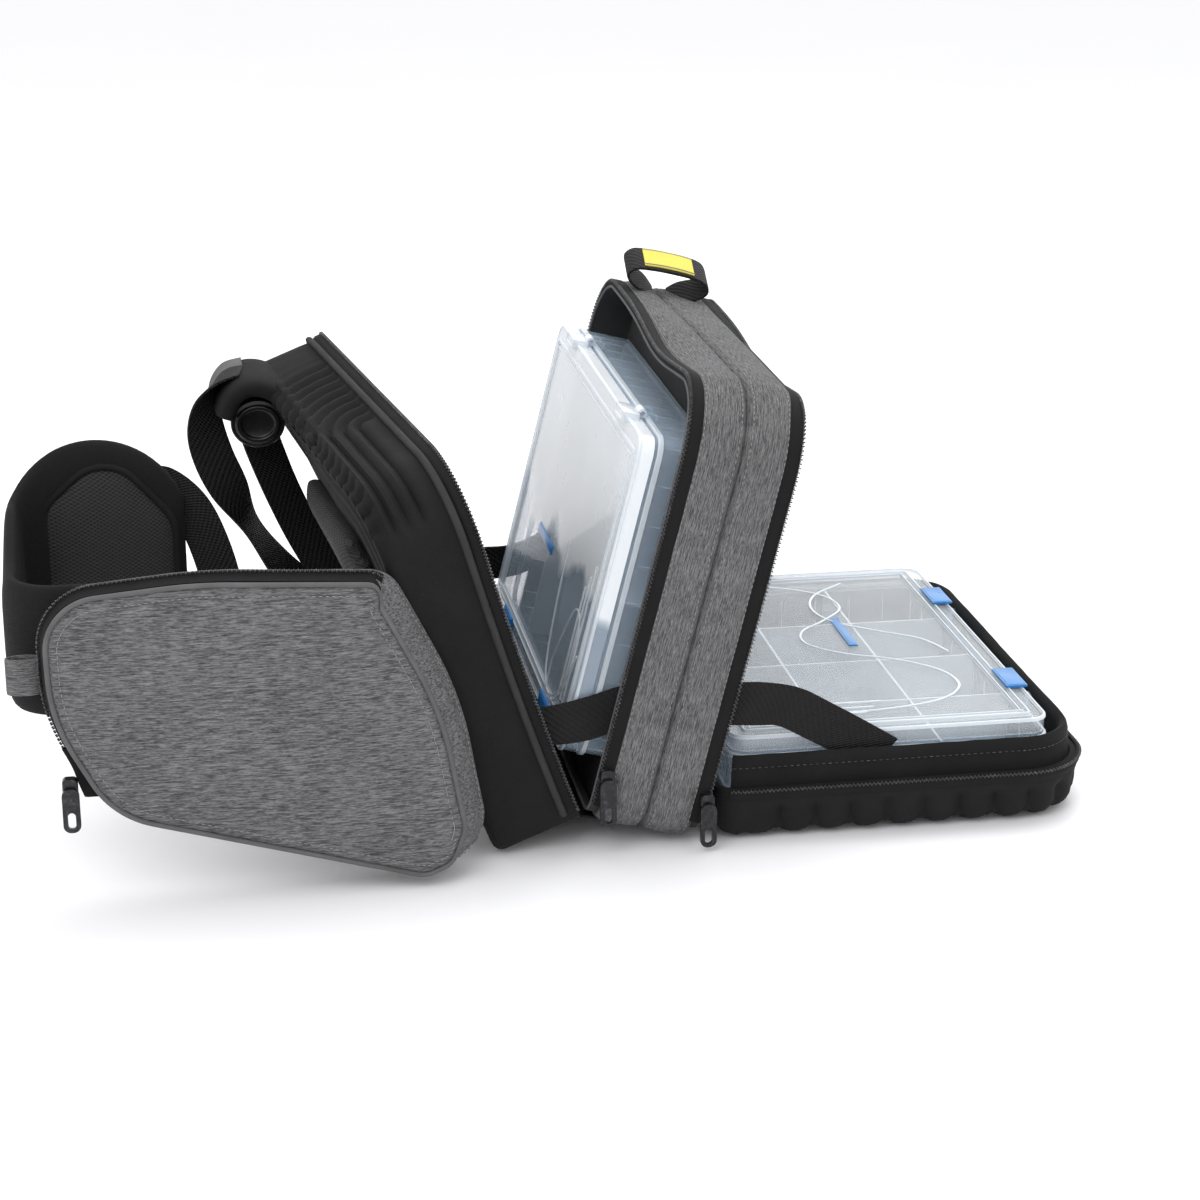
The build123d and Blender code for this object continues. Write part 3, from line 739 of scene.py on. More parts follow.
# %% Tapes and teeth
def tape_profile(low, high, proud=0.002, inner=0.0):
    """A tape between two depths that stands a little proud of the outline."""
    third = (high - low) / 3
    def profile(point, out, run):
        lift = sag(point) if inner else 0.0
        return [
            (lift - inner, low), (lift + proud * 0.55, low - 0.0001), (lift + proud, low + third * 0.7),
            (lift + proud, high - third), (lift + proud * 0.5, high), (lift - inner, high),
        ]
    return profile


def sag(point):
    """The centre section's soft top edge sinks between its corners."""
    top = soft((point.y - centre_height + 0.012) / 0.01)
    return -0.0075 * top * exp(-(((point.x + 0.04) / 0.065) ** 2))


def zip_edge(name, section, walk, body, node, low, high, chain, proud=0.002, inner=0.0, out=None):
    tape = swept(name + "_tape", section, walk, tape_profile(low, high, proud, inner), sharp=60)
    own(tape, body, tape_cloth, [node])
    reach = proud if out is None else out
    teeth = beads(
        name + "_teeth", section, walk, tooth_pitch, (0.0005, 0.0012, 0.0008),
        lambda p, o, r: (reach + (sag(p) if inner else 0), chain), stagger=0.00035,
    )
    own(teeth, body, tooth_plastic)


tray_edge = section_outline(tray_length, above=0.008, step=0.003)
zip_edge("tray_zip", tray, tray_edge, "tray", "front_zip_tape", -0.0008, 0.0058, 0.0002)
centre_edge = section_outline(centre_height, above=0.010, step=0.003)
zip_edge("centre_rear_zip", centre, centre_edge, "centre_section", "rear_zip_tape",
         0.0006, 0.0085, 0.0006, inner=0.0022, out=0.0010)
zip_edge("centre_front_zip", centre, centre_edge, "centre_section", "front_edge_zip_tape",
         0.0555, 0.0634, 0.0636, inner=0.0022, out=0.0012)
back_corners = rectangle(half_width, 0, shell_height)
back_radii = (0.014, 0.014, 0.048, 0.040)
back_edge = outline(back_corners, back_radii, 0.003, above=0.010)
zip_edge("back_zip", back, back_edge, "back_section", "back_zip_tape", 0.0012, 0.0078, 0.0016)
back_piping = swept("back_piping_roll", back, back_edge, round_bar(0.0021, 0.0012, 0.0097), sharp=80)
own(back_piping, "back_section", dark_piping, ["back_piping"])

# %% [markdown]
# ## The soft centre section
# Two grey bands meet in a seam that pulls them in, so each stands up between its edges like a
# filled tube. The rear band narrows towards the far top corner, and the rear opening sags
# along the top. The bands are swept closed round all four sides, with rows of stitches beside
# the seam and the zips.

# %% Gussets
centre_middle = 0.032


def seam_depth(point):
    far_top = soft((point.x + 0.06) / 0.2) * soft((point.y - 0.15) / 0.09)
    return centre_middle - 0.008 * far_top


def band_height(share, run, seed):
    """How proud a band stands, from its edge at 0 to its seam at 1."""
    crown = sin(pi * min(1, max(0, share))) ** 0.6
    ripple = 0.0007 * level(run, seed) + 0.0003 * level(run, seed + 4, 0.014)
    return (0.0030 + ripple) * crown - 0.0014 * soft((share - 0.9) / 0.1)


def edge_drop(point, depth):
    """The rear edge sags; the front one stays up."""
    return sag(point) if depth < centre_middle else 0.0


def gusset_profile(edge, seed):
    def profile(point, out, run):
        seam = seam_depth(point)
        shares = [k / 10 for k in range(11)]
        depth = [edge + (seam - edge) * s for s in shares]
        drop = [edge_drop(point, edge) * (1 - s) for s in shares]
        outer = [(band_height(s, run, seed) + q, d) for s, d, q in zip(shares, depth, drop)]
        return outer + [(-0.0021, seam), (-0.0021 + drop[5], depth[5]), (-0.0021 + drop[0], edge)]
    return profile


centre_walk = section_outline(centre_height)
for name, edge, seed in (("rear_gusset", 0.0062, 11), ("front_gusset", 0.0578, 23)):
    gusset = swept(name + "_band", centre, centre_walk, gusset_profile(edge, seed), closed=True, sharp=60)
    own(gusset, "centre_section", band_cloth, [name])
    for row, share in (("edge", 0.1), ("seam", 0.87)):
        def row_spot(point, out, run):
            depth = edge + (seam_depth(point) - edge) * share
            return band_height(share, run, seed) + edge_drop(point, edge) * (1 - share) + 0.0001, depth
        stitches = beads(f"{name}_{row}_stitches", centre, centre_walk, stitch_pitch,
                         (0.0012, 0.00035, 0.0003), row_spot)
        own(stitches, "centre_section", thread.material)

# %% Lining, rim piping, divider and base
def lining_profile(point, out, run):
    drop, fold = sag(point), 0.0006 * level(run, 31, 0.03)
    return [
        (-0.0021 + drop, 0.0008), (-0.0022 + drop / 2, 0.016), (-0.0022, 0.05), (-0.0022, 0.063),
        (-0.0034, 0.063), (-0.0035 - fold, 0.045), (-0.0035 + drop / 2 - fold, 0.018),
        (-0.0034 + drop, 0.0008),
    ]


lining = swept("inside_lining", centre, centre_walk, lining_profile, closed=True, sharp=60)
own(lining, "centre_section", lining_cloth, ["centre_lining"])
for name, depth in (("rear", 0.0006), ("front", 0.0633)):
    def rim(point, out, run, depth=depth):
        drop = edge_drop(point, depth)
        return [(o + drop, d) for o, d in round_bar(0.0008, -0.0030, depth, 6)(point, out, run)]
    piece = swept(f"{name}_rim_piping", centre, centre_walk, rim, closed=True, sharp=80)
    own(piece, "centre_section", piping_cloth)

divider_levels = flat_levels(
    -0.0036, (0.3, 0.0268), (0.75, 0.0268), (0.96, 0.0266), (1, 0.0262), (1, 0.0246), (0.96, 0.0239),
    (0.75, 0.0236), (0.3, 0.0236),
)
divider = lofted("divider_sheet", centre, centre_walk, divider_levels, (0, centre_height / 2))
own(divider, "centre_section", lining_cloth, ["divider_panel"])
strip_knots = [(centre.at(y, 0.0165, 0.0622), centre.up * 0.0125) for y in (-0.135, -0.05, 0.05, 0.135)]
base_strip = band("base_strip_cloth", strip_knots, 0.0013)
own(base_strip, "centre_section", pad_cloth, ["base_strip_panel"])

# %% [markdown]
# ## Cloth hinges
# The sections are sewn to each other along their lower edges by a strip of cloth folded over a
# cord. When a section closes, the strip turns with it; here each strip is built in place with the
# bag open and rides on neither body.

# %% Hinge bindings
def binding(name, path, pivot, other, step):
    """A cloth strip across a hinge line; path is in the X-Z plane."""
    wide = Vector((0, half_width - 0.015, 0))
    piece = band(name, [(Vector((x, 0, z)), wide) for x, z in path], 0.0014, steps=5)
    way = Vector((step, 0, 0))
    own(piece, ("centre_section", other, pivot - way, pivot + way), pad_cloth,
        ["front_hinge_cord" if other == "tray" else "rear_hinge_cord"])


def flat_point(vector):
    return vector.x, vector.z


front_path = [flat_point(centre.at(0, y, 0.0642 + d)) for y, d in ((0.012, 0), (0.020, 0.0002))]
front_path += [(tray_hinge.x - 0.0012, tray_hinge.z - 0.002), (tray_hinge.x + 0.0006, tray_hinge.z - 0.0022)]
front_path += [(tray_hinge.x + 0.0009, 0.023), (tray_hinge.x + 0.0009, 0.015)]
binding("front_hinge_binding", front_path, tray_hinge, "tray", 0.003)
rear_path = [flat_point(centre.at(0, -0.0035, d)) for d in (0.02, 0.010, 0.004)]
rear_path += [(rear_hinge.x, rear_hinge.z - 0.004)]
rear_path += [flat_point(back.at(0, -0.0012, d)) for d in (0.005, 0.012, 0.022)]
binding("rear_hinge_binding", rear_path, rear_hinge, "back_section", -0.004)

# %% Stay straps
webbing = 0.0016  # how thick the straps are


def stay(name, knots, other, start, end, side):
    """Webbing that stops a section at its open angle; side is -1 near and 1 far."""
    mirrored = [((x, y * -side, z), (a, b * -side, c)) for (x, y, z), (a, b, c) in knots]
    piece = band(name.replace("strap", "webbing"), mirrored, webbing, steps=12)
    own(piece, ("centre_section", other, start, end), strap_cloth, [name])


front_knots = (
    ((-0.112, -0.1455, 0.080), (0.001, 0.000, 0.0120)),
    ((-0.096, -0.1445, 0.079), (0.001, 0.001, 0.0122)),
    ((-0.080, -0.1425, 0.077), (0.004, 0.003, 0.0112)),
    ((-0.066, -0.1405, 0.0735), (0.0075, 0.003, 0.0095)),
    ((-0.050, -0.1395, 0.0645), (0.0083, 0.001, 0.0093)),
    ((-0.030, -0.139, 0.0525), (0.0083, 0.000, 0.0093)),
    ((-0.012, -0.1385, 0.041), (0.0083, 0.000, 0.0093)),
)
rear_knots = (
    ((-0.149, -0.1450, 0.0845), (0.001, 0.000, 0.0118)),
    ((-0.160, -0.1435, 0.0810), (0.001, 0.002, 0.0118)),
    ((-0.178, -0.1415, 0.0745), (-0.002, 0.003, 0.0112)),
    ((-0.196, -0.1430, 0.0725), (-0.002, 0.001, 0.0112)),
    ((-0.216, -0.1450, 0.0730), (0.000, 0.000, 0.0110)),
)
for end, side in (("near", -1), ("far", 1)):
    stay(f"front_stay_strap_{end}", front_knots, "tray", (-0.098, 0, 0.07), (-0.02, 0, 0.05), side)
    stay(f"rear_stay_strap_{end}", rear_knots, "back_section", (-0.155, 0, 0.08), (-0.208, 0, 0.073), side)

# %% [markdown]
# ## The back shell
# The back shell is moulded like the tray. Its end wall carries nested ridges that turn round a
# smooth raised panel, and its outer edge is scalloped beside a rolled band. The distance from
# the panel gives the nested ridges, so they turn its corner as they do in the mould.

# %% Back shell
panel_edge, panel_foot, ridge_pitch, ridge_depth = 0.035, 0.020, 0.0125, 0.0040


def ridges(x, depth):
    """Nested ridges, from 0 to 1, by their distance from the raised panel's corner."""
    away = sqrt(max(0.0, panel_edge - x) ** 2 + (1.5 * max(0.0, depth - panel_foot)) ** 2)
    fade = soft(away / 0.004) * soft((0.125 - away) / 0.03)
    return (0.5 - 0.5 * cos(2 * pi * away / ridge_pitch)) ** 1.6 * fade


def back_wall(outwards, depth, share=1.0):
    def spot(point, out, run):
        end_wall = soft((point.y - shell_height + 0.03) / 0.02) * share
        fold = ridges(point.x, depth) * ridge_depth * end_wall * soft((depth - 0.010) / 0.008)
        panel = 0.0014 * end_wall * soft((point.x - 0.030) / 0.02) * soft((depth - 0.012) / 0.01)
        scallop = crease(run, 0.0135) * 0.0034 * soft((depth - 0.043) / 0.006) * end_wall
        puckers = 0.0007 * level(run, 5, 0.018) * soft((depth - 0.008) / 0.01) * share
        rolled = 0.0016 * end_wall * soft((depth - 0.040) / 0.002) * soft((0.046 - depth) / 0.002)
        return outwards - fold + panel + puckers + rolled - scallop, depth - scallop * 0.5
    return spot


back_round = 0.006
back_middle = (0, shell_height / 2)
back_levels = flat_levels(
    -back_round, (0.30, 0.0505), (0.62, 0.0505), (0.64, 0.0515), (0.72, 0.0515), (0.74, 0.0500),
    (0.80, 0.0500), (0.82, 0.0515), (0.88, 0.0515), (0.90, 0.0500), (0.94, 0.0502), (0.96, 0.0520),
    (0.99, 0.0520),
)
back_levels += [
    (1, back_wall(-back_round * (1 - cos(a)), shell_depth - back_round + back_round * sin(a)))
    for a in (pi / 2, pi * 0.38, pi * 0.25, pi * 0.12)
]
wall_steps = 19
back_levels += [
    (1, back_wall(0, shell_depth - back_round - (shell_depth - back_round - 0.008) * k / wall_steps))
    for k in range(wall_steps + 1)
]
back_levels += [(1, back_wall(o, d, 0)) for o, d in (
    (0, 0.005), (0, 0.0019), (-0.0004, 0.0015), (-0.0036, 0.0015), (-0.004, 0.0019), (-0.004, 0.047),
)]
back_levels += flat_levels(-0.004, (0.95, 0.048))
back_walk = outline(back_corners, back_radii, step=0.0025)
back_case = lofted("back_case", back, back_walk, back_levels, back_middle)
own(back_case, "back_section", shell_cloth, ["back_shell"])

# %% [markdown]
# ## Padded pieces
# Pads are foam or wadding sewn into cloth: crowned in the middle and pulled in at the seams.
# A cloth simulation finds that shape by itself. The pad's CAD copy is remeshed evenly, blown
# up with a little pressure for twenty frames, and no point may move more than a cap, so the
# pad stays clear of its neighbours.

# %% Blowing up a pad
def swollen(name, node, voxel=0.005, cap=0.004, pressure=4.0):
    piece = placed(name, nodes[node].data.copy())
    only(piece)
    bpy.ops.object.mode_set(mode="EDIT")
    bpy.ops.mesh.select_all(action="SELECT")
    bpy.ops.mesh.remove_doubles(threshold=0.00001)
    bpy.ops.object.mode_set(mode="OBJECT")
    remesh = piece.modifiers.new("even", "REMESH")
    remesh.mode, remesh.voxel_size = "VOXEL", voxel
    bpy.ops.object.modifier_apply(modifier="even")
    before = [v.co.copy() for v in piece.data.vertices]
    cloth = piece.modifiers.new("blow_up", "CLOTH")
    cloth.settings.use_pressure, cloth.settings.uniform_pressure_force = True, pressure
    cloth.settings.effector_weights.gravity = 0
    for number in range(1, 21):
        scene.frame_set(number)
    graph = bpy.context.evaluated_depsgraph_get()
    after = [v.co.copy() for v in piece.evaluated_get(graph).data.vertices]
    piece.modifiers.remove(cloth)
    scene.frame_set(1)
    for vert, old, new in zip(piece.data.vertices, before, after):
        move = new - old
        vert.co = old + move * min(1.0, cap / max(move.length, 1e-9))
    finer = piece.modifiers.new("finer", "SUBSURF")
    finer.levels = finer.render_levels = 1
    bpy.ops.object.modifier_apply(modifier="finer")
    return smooth(piece, 80)


def hang(piece, section):
    """Lets a piece that was made flat follow the slump of its section."""
    for vert in piece.data.vertices:
        away = vert.co - section.origin
        vert.co += section.slump(away.dot(section.along), away.dot(section.up))


for name, node, body, slot, material, cap, fill in (
    ("tray_floor_cushion", "front_floor_pad", "tray", "black_fabric", pad_cloth, 0.0008, 0.8),
    ("centre_base_cushion", "base_pad", "centre_section", "black_fabric", pad_cloth, 0.0008, 0.8),
    ("lumbar_cushion", "lumbar_pad", "back_section", "spacer_mesh", mesh_cloth, 0.005, 0.6),
    ("hip_wing_cushion", "wing_pad", "hip_wing", "black_fabric", pad_cloth, 0.002, 0.6),
):
    cushion = swollen(name, node, cap=cap)
    if body == "back_section":
        hang(cushion, back)
    own(cushion, body, material, [node])

# %% [markdown]
# ## The side pocket
# The pocket is a grey bag on the wing: a gusset, wide on the right, a front panel that bulges
# a little, grey piping round the panel, and a black zip along its top and front edges. The
# panel is smaller than the pocket's foot, so the gusset slopes and shows.

# %% Pocket body
pocket_corners = (
    (-0.282, 0.152), (-0.201, 0.159), (-0.104, 0.154), (-0.069, 0.085), (-0.053, -0.006),
    (-0.090, -0.014), (-0.252, 0.032), (-0.281, 0.088),
)
pocket_radii = (0.030, 0.300, 0.018, 0.200, 0.027, 0.030, 0.050, 0.100)
pocket_walk = outline(pocket_corners, pocket_radii, step=0.003)
pocket_middle = (-0.172, 0.075)
pocket_foot, pocket_face = 0.0090, 0.0262


def pocket_inset(out):
    return 0.0018 + 0.0105 * soft((out.x + 0.1) / 1.05)


def pocket_side(depth, extra=0.0):
    share = (depth - pocket_foot) / (pocket_face - pocket_foot)
    def spot(point, out, run):
        belly = 0.0012 * sin(pi * share) + 0.0004 * level(run, 41, 0.03)
        return -pocket_inset(out) * share + belly - extra, depth
    return spot


def pocket_front(rise):
    def spot(point, out, run):
        return -pocket_inset(out) - 0.003, pocket_face + 0.0012 + rise
    return spot


pocket_levels = [(0.5, pocket_side(pocket_foot)), (1, pocket_side(pocket_foot))]
pocket_levels += [(1, pocket_side(d)) for d in (0.0115, 0.0145, 0.0175, 0.0205, 0.0235)]
pocket_levels += [(1, pocket_side(pocket_face)), (1, pocket_side(pocket_face, 0.0016))]
pocket_bulge = 0.0048
pocket_levels += [
    (s, pocket_front(pocket_bulge * (1 - s * s))) for s in (1, 0.97, 0.92, 0.82, 0.68, 0.5, 0.3, 0.1)
]
pocket = lofted("side_pocket_bag", wing, pocket_walk, pocket_levels, pocket_middle, sharp=60)
own(pocket, "hip_wing", pocket_cloth, ["side_pocket_gusset", "side_pocket_panel"])


def pocket_piping(point, out, run):
    return round_bar(0.0014, -pocket_inset(out) - 0.0002, pocket_face + 0.0004)(point, out, run)


piping = swept("side_pocket_piping", wing, pocket_walk, pocket_piping, closed=True, sharp=80)
own(piping, "hip_wing", piping_cloth)
for name, extra, depth in (("panel", 0.0060, pocket_face + 0.0019), ("gusset", -0.0004, 0.0125)):
    def stitch_spot(point, out, run):
        if name == "panel":
            return -pocket_inset(out) - extra, depth
        return pocket_side(depth)(point, out, run)[0] - extra, depth
    right = part_of(pocket_walk, lambda p: p.x > -0.108)
    walk = pocket_walk if name == "panel" else right
    row = beads(f"side_pocket_{name}_stitches", wing, walk, stitch_pitch, stitch_size, stitch_spot)
    own(row, "hip_wing", thread.material)

# %% Pocket zip
zip_walk = part_of(pocket_walk, lambda p: (p.x < -0.108 and p.y > 0.13) or (p.x < -0.25 and p.y > 0.044))


def pocket_tape(point, out, run):
    low, high = pocket_side(0.0130)(point, out, run)[0], pocket_side(0.0252)(point, out, run)[0]
    return [(low - 0.001, 0.0128), (low + 0.0009, 0.0132), (low + 0.0016, 0.0165), (high + 0.0020, 0.0205),
            (high + 0.0010, 0.0252), (high - 0.001, 0.0252)]


tape = swept("side_pocket_tape", wing, zip_walk, pocket_tape, sharp=60)
own(tape, "hip_wing", tape_cloth, ["side_pocket_zip_tape"])
tab_spots = ((-0.2700, 0.0700), (-0.2655, 0.0600), (-0.2625, 0.0500), (-0.2600, 0.0430))
tab_knots = [(wing.at(x, y, 0.0190), wing.turn(Vector((0.0052, 0, 0)))) for x, y in tab_spots]
own(band("side_pocket_tape_end", tab_knots, 0.0030, square=4), "hip_wing", tape_cloth)
teeth = beads(
    "side_pocket_teeth", wing, zip_walk, tooth_pitch, (0.0005, 0.0008, 0.0012),
    lambda p, o, r: (pocket_side(0.0180)(p, o, r)[0] + 0.0022, 0.0180), stagger=0.0005,
)
own(teeth, "hip_wing", tooth_plastic)

# %% [markdown]
# ## The wing's padded tip
# The wing curls round the wearer's hip and ends in a dome with an open mesh face. It is one
# padded band: a path in plan, with a height that grows from the pocket into the dome.

# %% Wing tip
def curl_points(step=0.004, radius=0.024):
    """The tip's path in plan: out from the pocket, round the wing's end and back."""
    end_x, near_y, far_y = -0.4778 - rear_hinge.x, -0.148, -0.038
    corners = [Vector(c) for c in ((-0.250, near_y), (end_x, near_y), (end_x, far_y), (-0.206, far_y))]
    path = [corners[0]] + arc(corners[1], corners[0], corners[2], radius, step)
    path += arc(corners[2], corners[1], corners[3], radius, step) + [corners[3]]
    points = []
    for a, b in zip(path, path[1:]):
        count = max(1, round((b - a).length / step))
        points += [a.lerp(b, k / count) for k in range(count)]
    return points + [corners[3]]


dome_middle, dome_half, dome_foot, dome_rise, pocket_side_top = -0.2535, 0.0515, 0.140, 0.056, 0.150


def dome_top(x):
    return dome_foot + dome_rise * sqrt(max(0.0, 1 - ((x - dome_middle) / dome_half) ** 2))


tip_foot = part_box("wing_tip_pad")[0].z - rear_hinge.z
tip_line, tip_rings, tip_sides, tip_half = curl_points(), [], 28, 0.0050
for i, point in enumerate(tip_line):
    way = (tip_line[min(i + 1, len(tip_line) - 1)] - tip_line[max(i - 1, 0)]).normalized()
    side = Vector((-way.y, way.x))
    top = pocket_side_top + (dome_top(point.x) - pocket_side_top) * soft((point.y + 0.125) / 0.06)
    high, low = (top + tip_foot) / 2, (top - tip_foot) / 2
    end = min(i, len(tip_line) - 1 - i) * 0.004
    round_end = sqrt(max(0.04, 1 - (1 - min(1, end / 0.012)) ** 2))
    ring = []
    for k in range(tip_sides):
        turn = 2 * pi * k / tip_sides
        flat = point + side * (tip_half * power(sin(turn), 0.8) * round_end)
        tall = low * power(cos(turn), 0.45)
        ring.append(Vector((rear_hinge.x + flat.x, flat.y, rear_hinge.z + high + tall)))
    tip_rings.append(ring)
wing_tip = skin("wing_tip_cushion", tip_rings, sharp=80)
own(wing_tip, "hip_wing", pad_cloth, ["wing_tip_pad"])

face = Section((rear_hinge.x, -0.0424, rear_hinge.z), (1, 0, 0), (0, 0, 1), (0, -1, 0))
face_corners = ((-0.283, 0.088), (-0.212, 0.088), (-0.212, 0.150), (-0.247, 0.190), (-0.283, 0.158))
face_walk = outline(face_corners, (0.008, 0.008, 0.022, 0.022, 0.022), step=0.003)
face_levels = flat_levels(
    0, (0.5, -0.0012), (1, -0.0012), (1, 0.0006), (0.96, 0.0014), (0.8, 0.0030), (0.5, 0.0042), (0.2, 0.0046),
)
mesh_face = lofted("wing_tip_mesh_face", face, face_walk, face_levels, (-0.247, 0.132), sharp=80)
own(mesh_face, "hip_wing", mesh_cloth, ["wing_tip_mesh"])
face_bar = round_bar(0.0020, 0.0010, 0.0006)
face_binding = swept("wing_tip_binding", face, face_walk, face_bar, closed=True, sharp=80)
own(face_binding, "hip_wing", pad_cloth)

# %% Webbing on the wing
tool_centre = sum(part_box("tool_loop"), Vector()) / 2
turns = [2 * pi * k / 10 for k in range(10)]
loop_knots = [(tool_centre + Vector((0.0085 * cos(a), 0.0040 * sin(a), 0)), (0, 0, 0.0098)) for a in turns]
tool_loop = band("tool_loop_webbing", loop_knots, webbing, steps=4, closed=True)
own(tool_loop, "hip_wing", band_cloth, ["tool_loop"])
belt_path = (
    (-0.232, 0.166, 0.4), (-0.217, 0.166, 0.9), (-0.202, 0.152, 1.6), (-0.192, 0.128, 2.1),
    (-0.186, 0.100, 2.9), (-0.180, 0.054, 3.0),
)
belt_knots = [
    ((rear_hinge.x + x, -0.0325, rear_hinge.z + z), (0.0115 * sin(turn), 0.002, 0.0115 * cos(turn)))
    for x, z, turn in ((x, z, a * 0.5) for x, z, a in belt_path)
]
belt = band("hip_belt_webbing", belt_knots, webbing)
own(belt, "hip_wing", strap_cloth, ["belt_webbing"])

# %% [markdown]
# ## Carrying loop and shoulder strap
# The carrying loop is one length of webbing bent flat over the top, with a plain yellow patch
# sewn on. The shoulder strap starts as a padded arch on the back shell, and its webbing turns
# through a round buckle and hangs down in two strands that twist as they go.

# %% Carrying loop
def handle_at(x, y, across=0.1):
    return centre.at(across, centre_height + y * 0.001, 0.008 + x * 0.001)


loop_line = ((15, -1), (8, 5), (-1, 9), (-5, 14), (-1, 18.6), (8, 20), (20, 20.4), (33, 20), (42, 18),
             (45, 13), (40, 8), (31, 4), (25, -1))
loop_knots = [(handle_at(x, y), (0.001, 0.0119, 0.0038)) for x, y in loop_line]
carry_loop = band("carrying_loop", loop_knots, 0.0019, steps=6)
own(carry_loop, "centre_section", strap_cloth, ["grab_handle"])
patch_line = ((4, 20.9), (12, 21.5), (20, 21.7), (28, 21.5), (35, 20.9))
patch_knots = [(handle_at(x, y), (0.0008, 0.0098, 0.0031)) for x, y in patch_line]
patch = band("yellow_patch", patch_knots, 0.0009, steps=6)
own(patch, "centre_section", yellow_cloth, ["handle_patch"])
for side in (-0.0085, 0.0085):
    seam = [(handle_at(x, y + 0.6 + side * 310, 0.1 + side), (0, 0.0004, 0)) for x, y in patch_line]
    row = band(f"patch_stitch_{'near' if side < 0 else 'far'}", seam, 0.0004, steps=6)
    own(row, "centre_section", thread.material)

# %% Shoulder strap
strap_y = sum(corner.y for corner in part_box("shoulder_strap_pad")) / 2
strap_root = back.at(0, shell_height - 0.016, shell_depth + 0.001)


def strap_at(x, z, y=strap_y):
    return Vector((strap_root.x - x * 0.001, y, strap_root.z + z * 0.001))


arch_line = ((-2, -10), (3, 4), (10, 13), (20, 18.5), (30, 18.5), (38, 12), (42, 2))
arch = band("shoulder_strap_cushion", [(strap_at(x, z), (0, 0.031, 0)) for x, z in arch_line],
            0.0135, sides=28, square=3.2, steps=6, sharp=80)
own(arch, "back_section", pad_cloth, ["shoulder_strap_pad"])
ring_line = ((30, 25), (41, 22), (48, 13), (50, 2), (47, -6))
ring_knots = [(strap_at(x, z, 0.108), (0, 0.010, 0)) for x, z in ring_line]
tip_ring = band("strap_tip_ring", ring_knots, webbing, steps=6)
own(tip_ring, "back_section", piping_cloth)
outer_line = (
    (31, 25, 0.086, (0.002, 0.0123, 0.000)), (43, 22, 0.084, (0.003, 0.0120, 0.001)),
    (52, 11, 0.083, (0.007, 0.0100, 0.001)), (54, -6, 0.083, (0.0105, 0.0065, 0.002)),
    (50, -26, 0.085, (0.0118, 0.0035, 0.003)), (41, -48, 0.088, (0.0105, 0.0050, 0.004)),
    (29, -72, 0.091, (0.0040, 0.0110, 0.002)), (14, -96, 0.092, (0.0050, 0.0105, 0.004)),
    (-8, -122, 0.092, (0.0095, 0.0060, 0.006)), (-34, -146, 0.092, (0.0100, 0.0040, 0.007)),
    (-62, -168, 0.092, (0.0100, 0.0040, 0.007)),
)
inner_line = (
    (24, -8, 0.096, (0.0110, 0.0050, 0.002)), (19, -26, 0.096, (0.0110, 0.0050, 0.002)),
    (8, -56, 0.096, (0.0100, 0.0070, 0.003)), (-6, -86, 0.096, (0.0100, 0.0060, 0.004)),
    (-26, -118, 0.096, (0.0105, 0.0040, 0.006)), (-58, -152, 0.096, (0.0105, 0.0040, 0.006)),
)
for name, node, line in (
    ("outer_strap_strand", "outer_strap_webbing", outer_line),
    ("inner_strap_strand", "inner_strap_webbing", inner_line),
):
    knots = [(strap_at(x, z, y), half) for x, z, y, half in line]
    own(band(name, knots, webbing), "back_section", strap_cloth, [node])

# %% [markdown]
# ## Hard fittings
# The buckle, the latches and the clips are moulded plastic, so they are modelled as by hand:
# a primitive at its size, faces picked by their direction, an inset, an extrusion, and a bevel
# that rounds every edge the way a mould does. Each is made in its own small frame and then set
# in place, with the place kept in its mesh.

# %% Small moulded parts
def pick(piece, test):
    """Selects the faces whose middle and normal pass a test, in edit mode."""
    bpy.ops.object.mode_set(mode="EDIT")
    bpy.ops.mesh.select_all(action="DESELECT")
    mesh = bmesh.from_edit_mesh(piece.data)
    for face in mesh.faces:
        face.select_set(test(face.calc_center_median(), face.normal))
    bmesh.update_edit_mesh(piece.data)


def moulded(piece, name, section, bevel=0.0005):
    """Rounds a part made at the origin and sets it into a section's frame."""
    bpy.ops.object.mode_set(mode="OBJECT")
    piece.name = piece.data.name = name
    rounding = piece.modifiers.new("rounding", "BEVEL")
    rounding.width, rounding.segments, rounding.limit_method = bevel, 3, "ANGLE"
    only(piece)
    bpy.ops.object.modifier_apply(modifier="rounding")
    axes = Matrix((section.along, section.up, section.inwards)).transposed().to_4x4()
    piece.matrix_world = Matrix.Translation(section.origin) @ axes
    bpy.ops.object.transform_apply(location=True, rotation=True, scale=True)
    return smooth(piece, 50)


def block(x, y, z, place=(0, 0, 0)):
    bpy.ops.object.select_all(action="DESELECT")
    bpy.ops.mesh.primitive_cube_add(size=1, location=place)
    bpy.context.object.scale = (x, y, z)
    bpy.ops.object.transform_apply(location=True, rotation=True, scale=True)
    return bpy.context.object


def panel(inset, rise):
    """Insets the selected faces and pushes what is left out or in."""
    bpy.ops.mesh.inset(thickness=inset, use_individual=True)
    bpy.ops.mesh.extrude_region_shrink_fatten(TRANSFORM_OT_shrink_fatten={"value": rise})


def topped(size, inset, rise, place=(0, 0, 0)):
    """A block with a raised or sunk panel on its top."""
    piece = block(*size, place)
    pick(piece, lambda middle, normal: normal.z > 0.9)
    panel(inset, rise)
    return piece


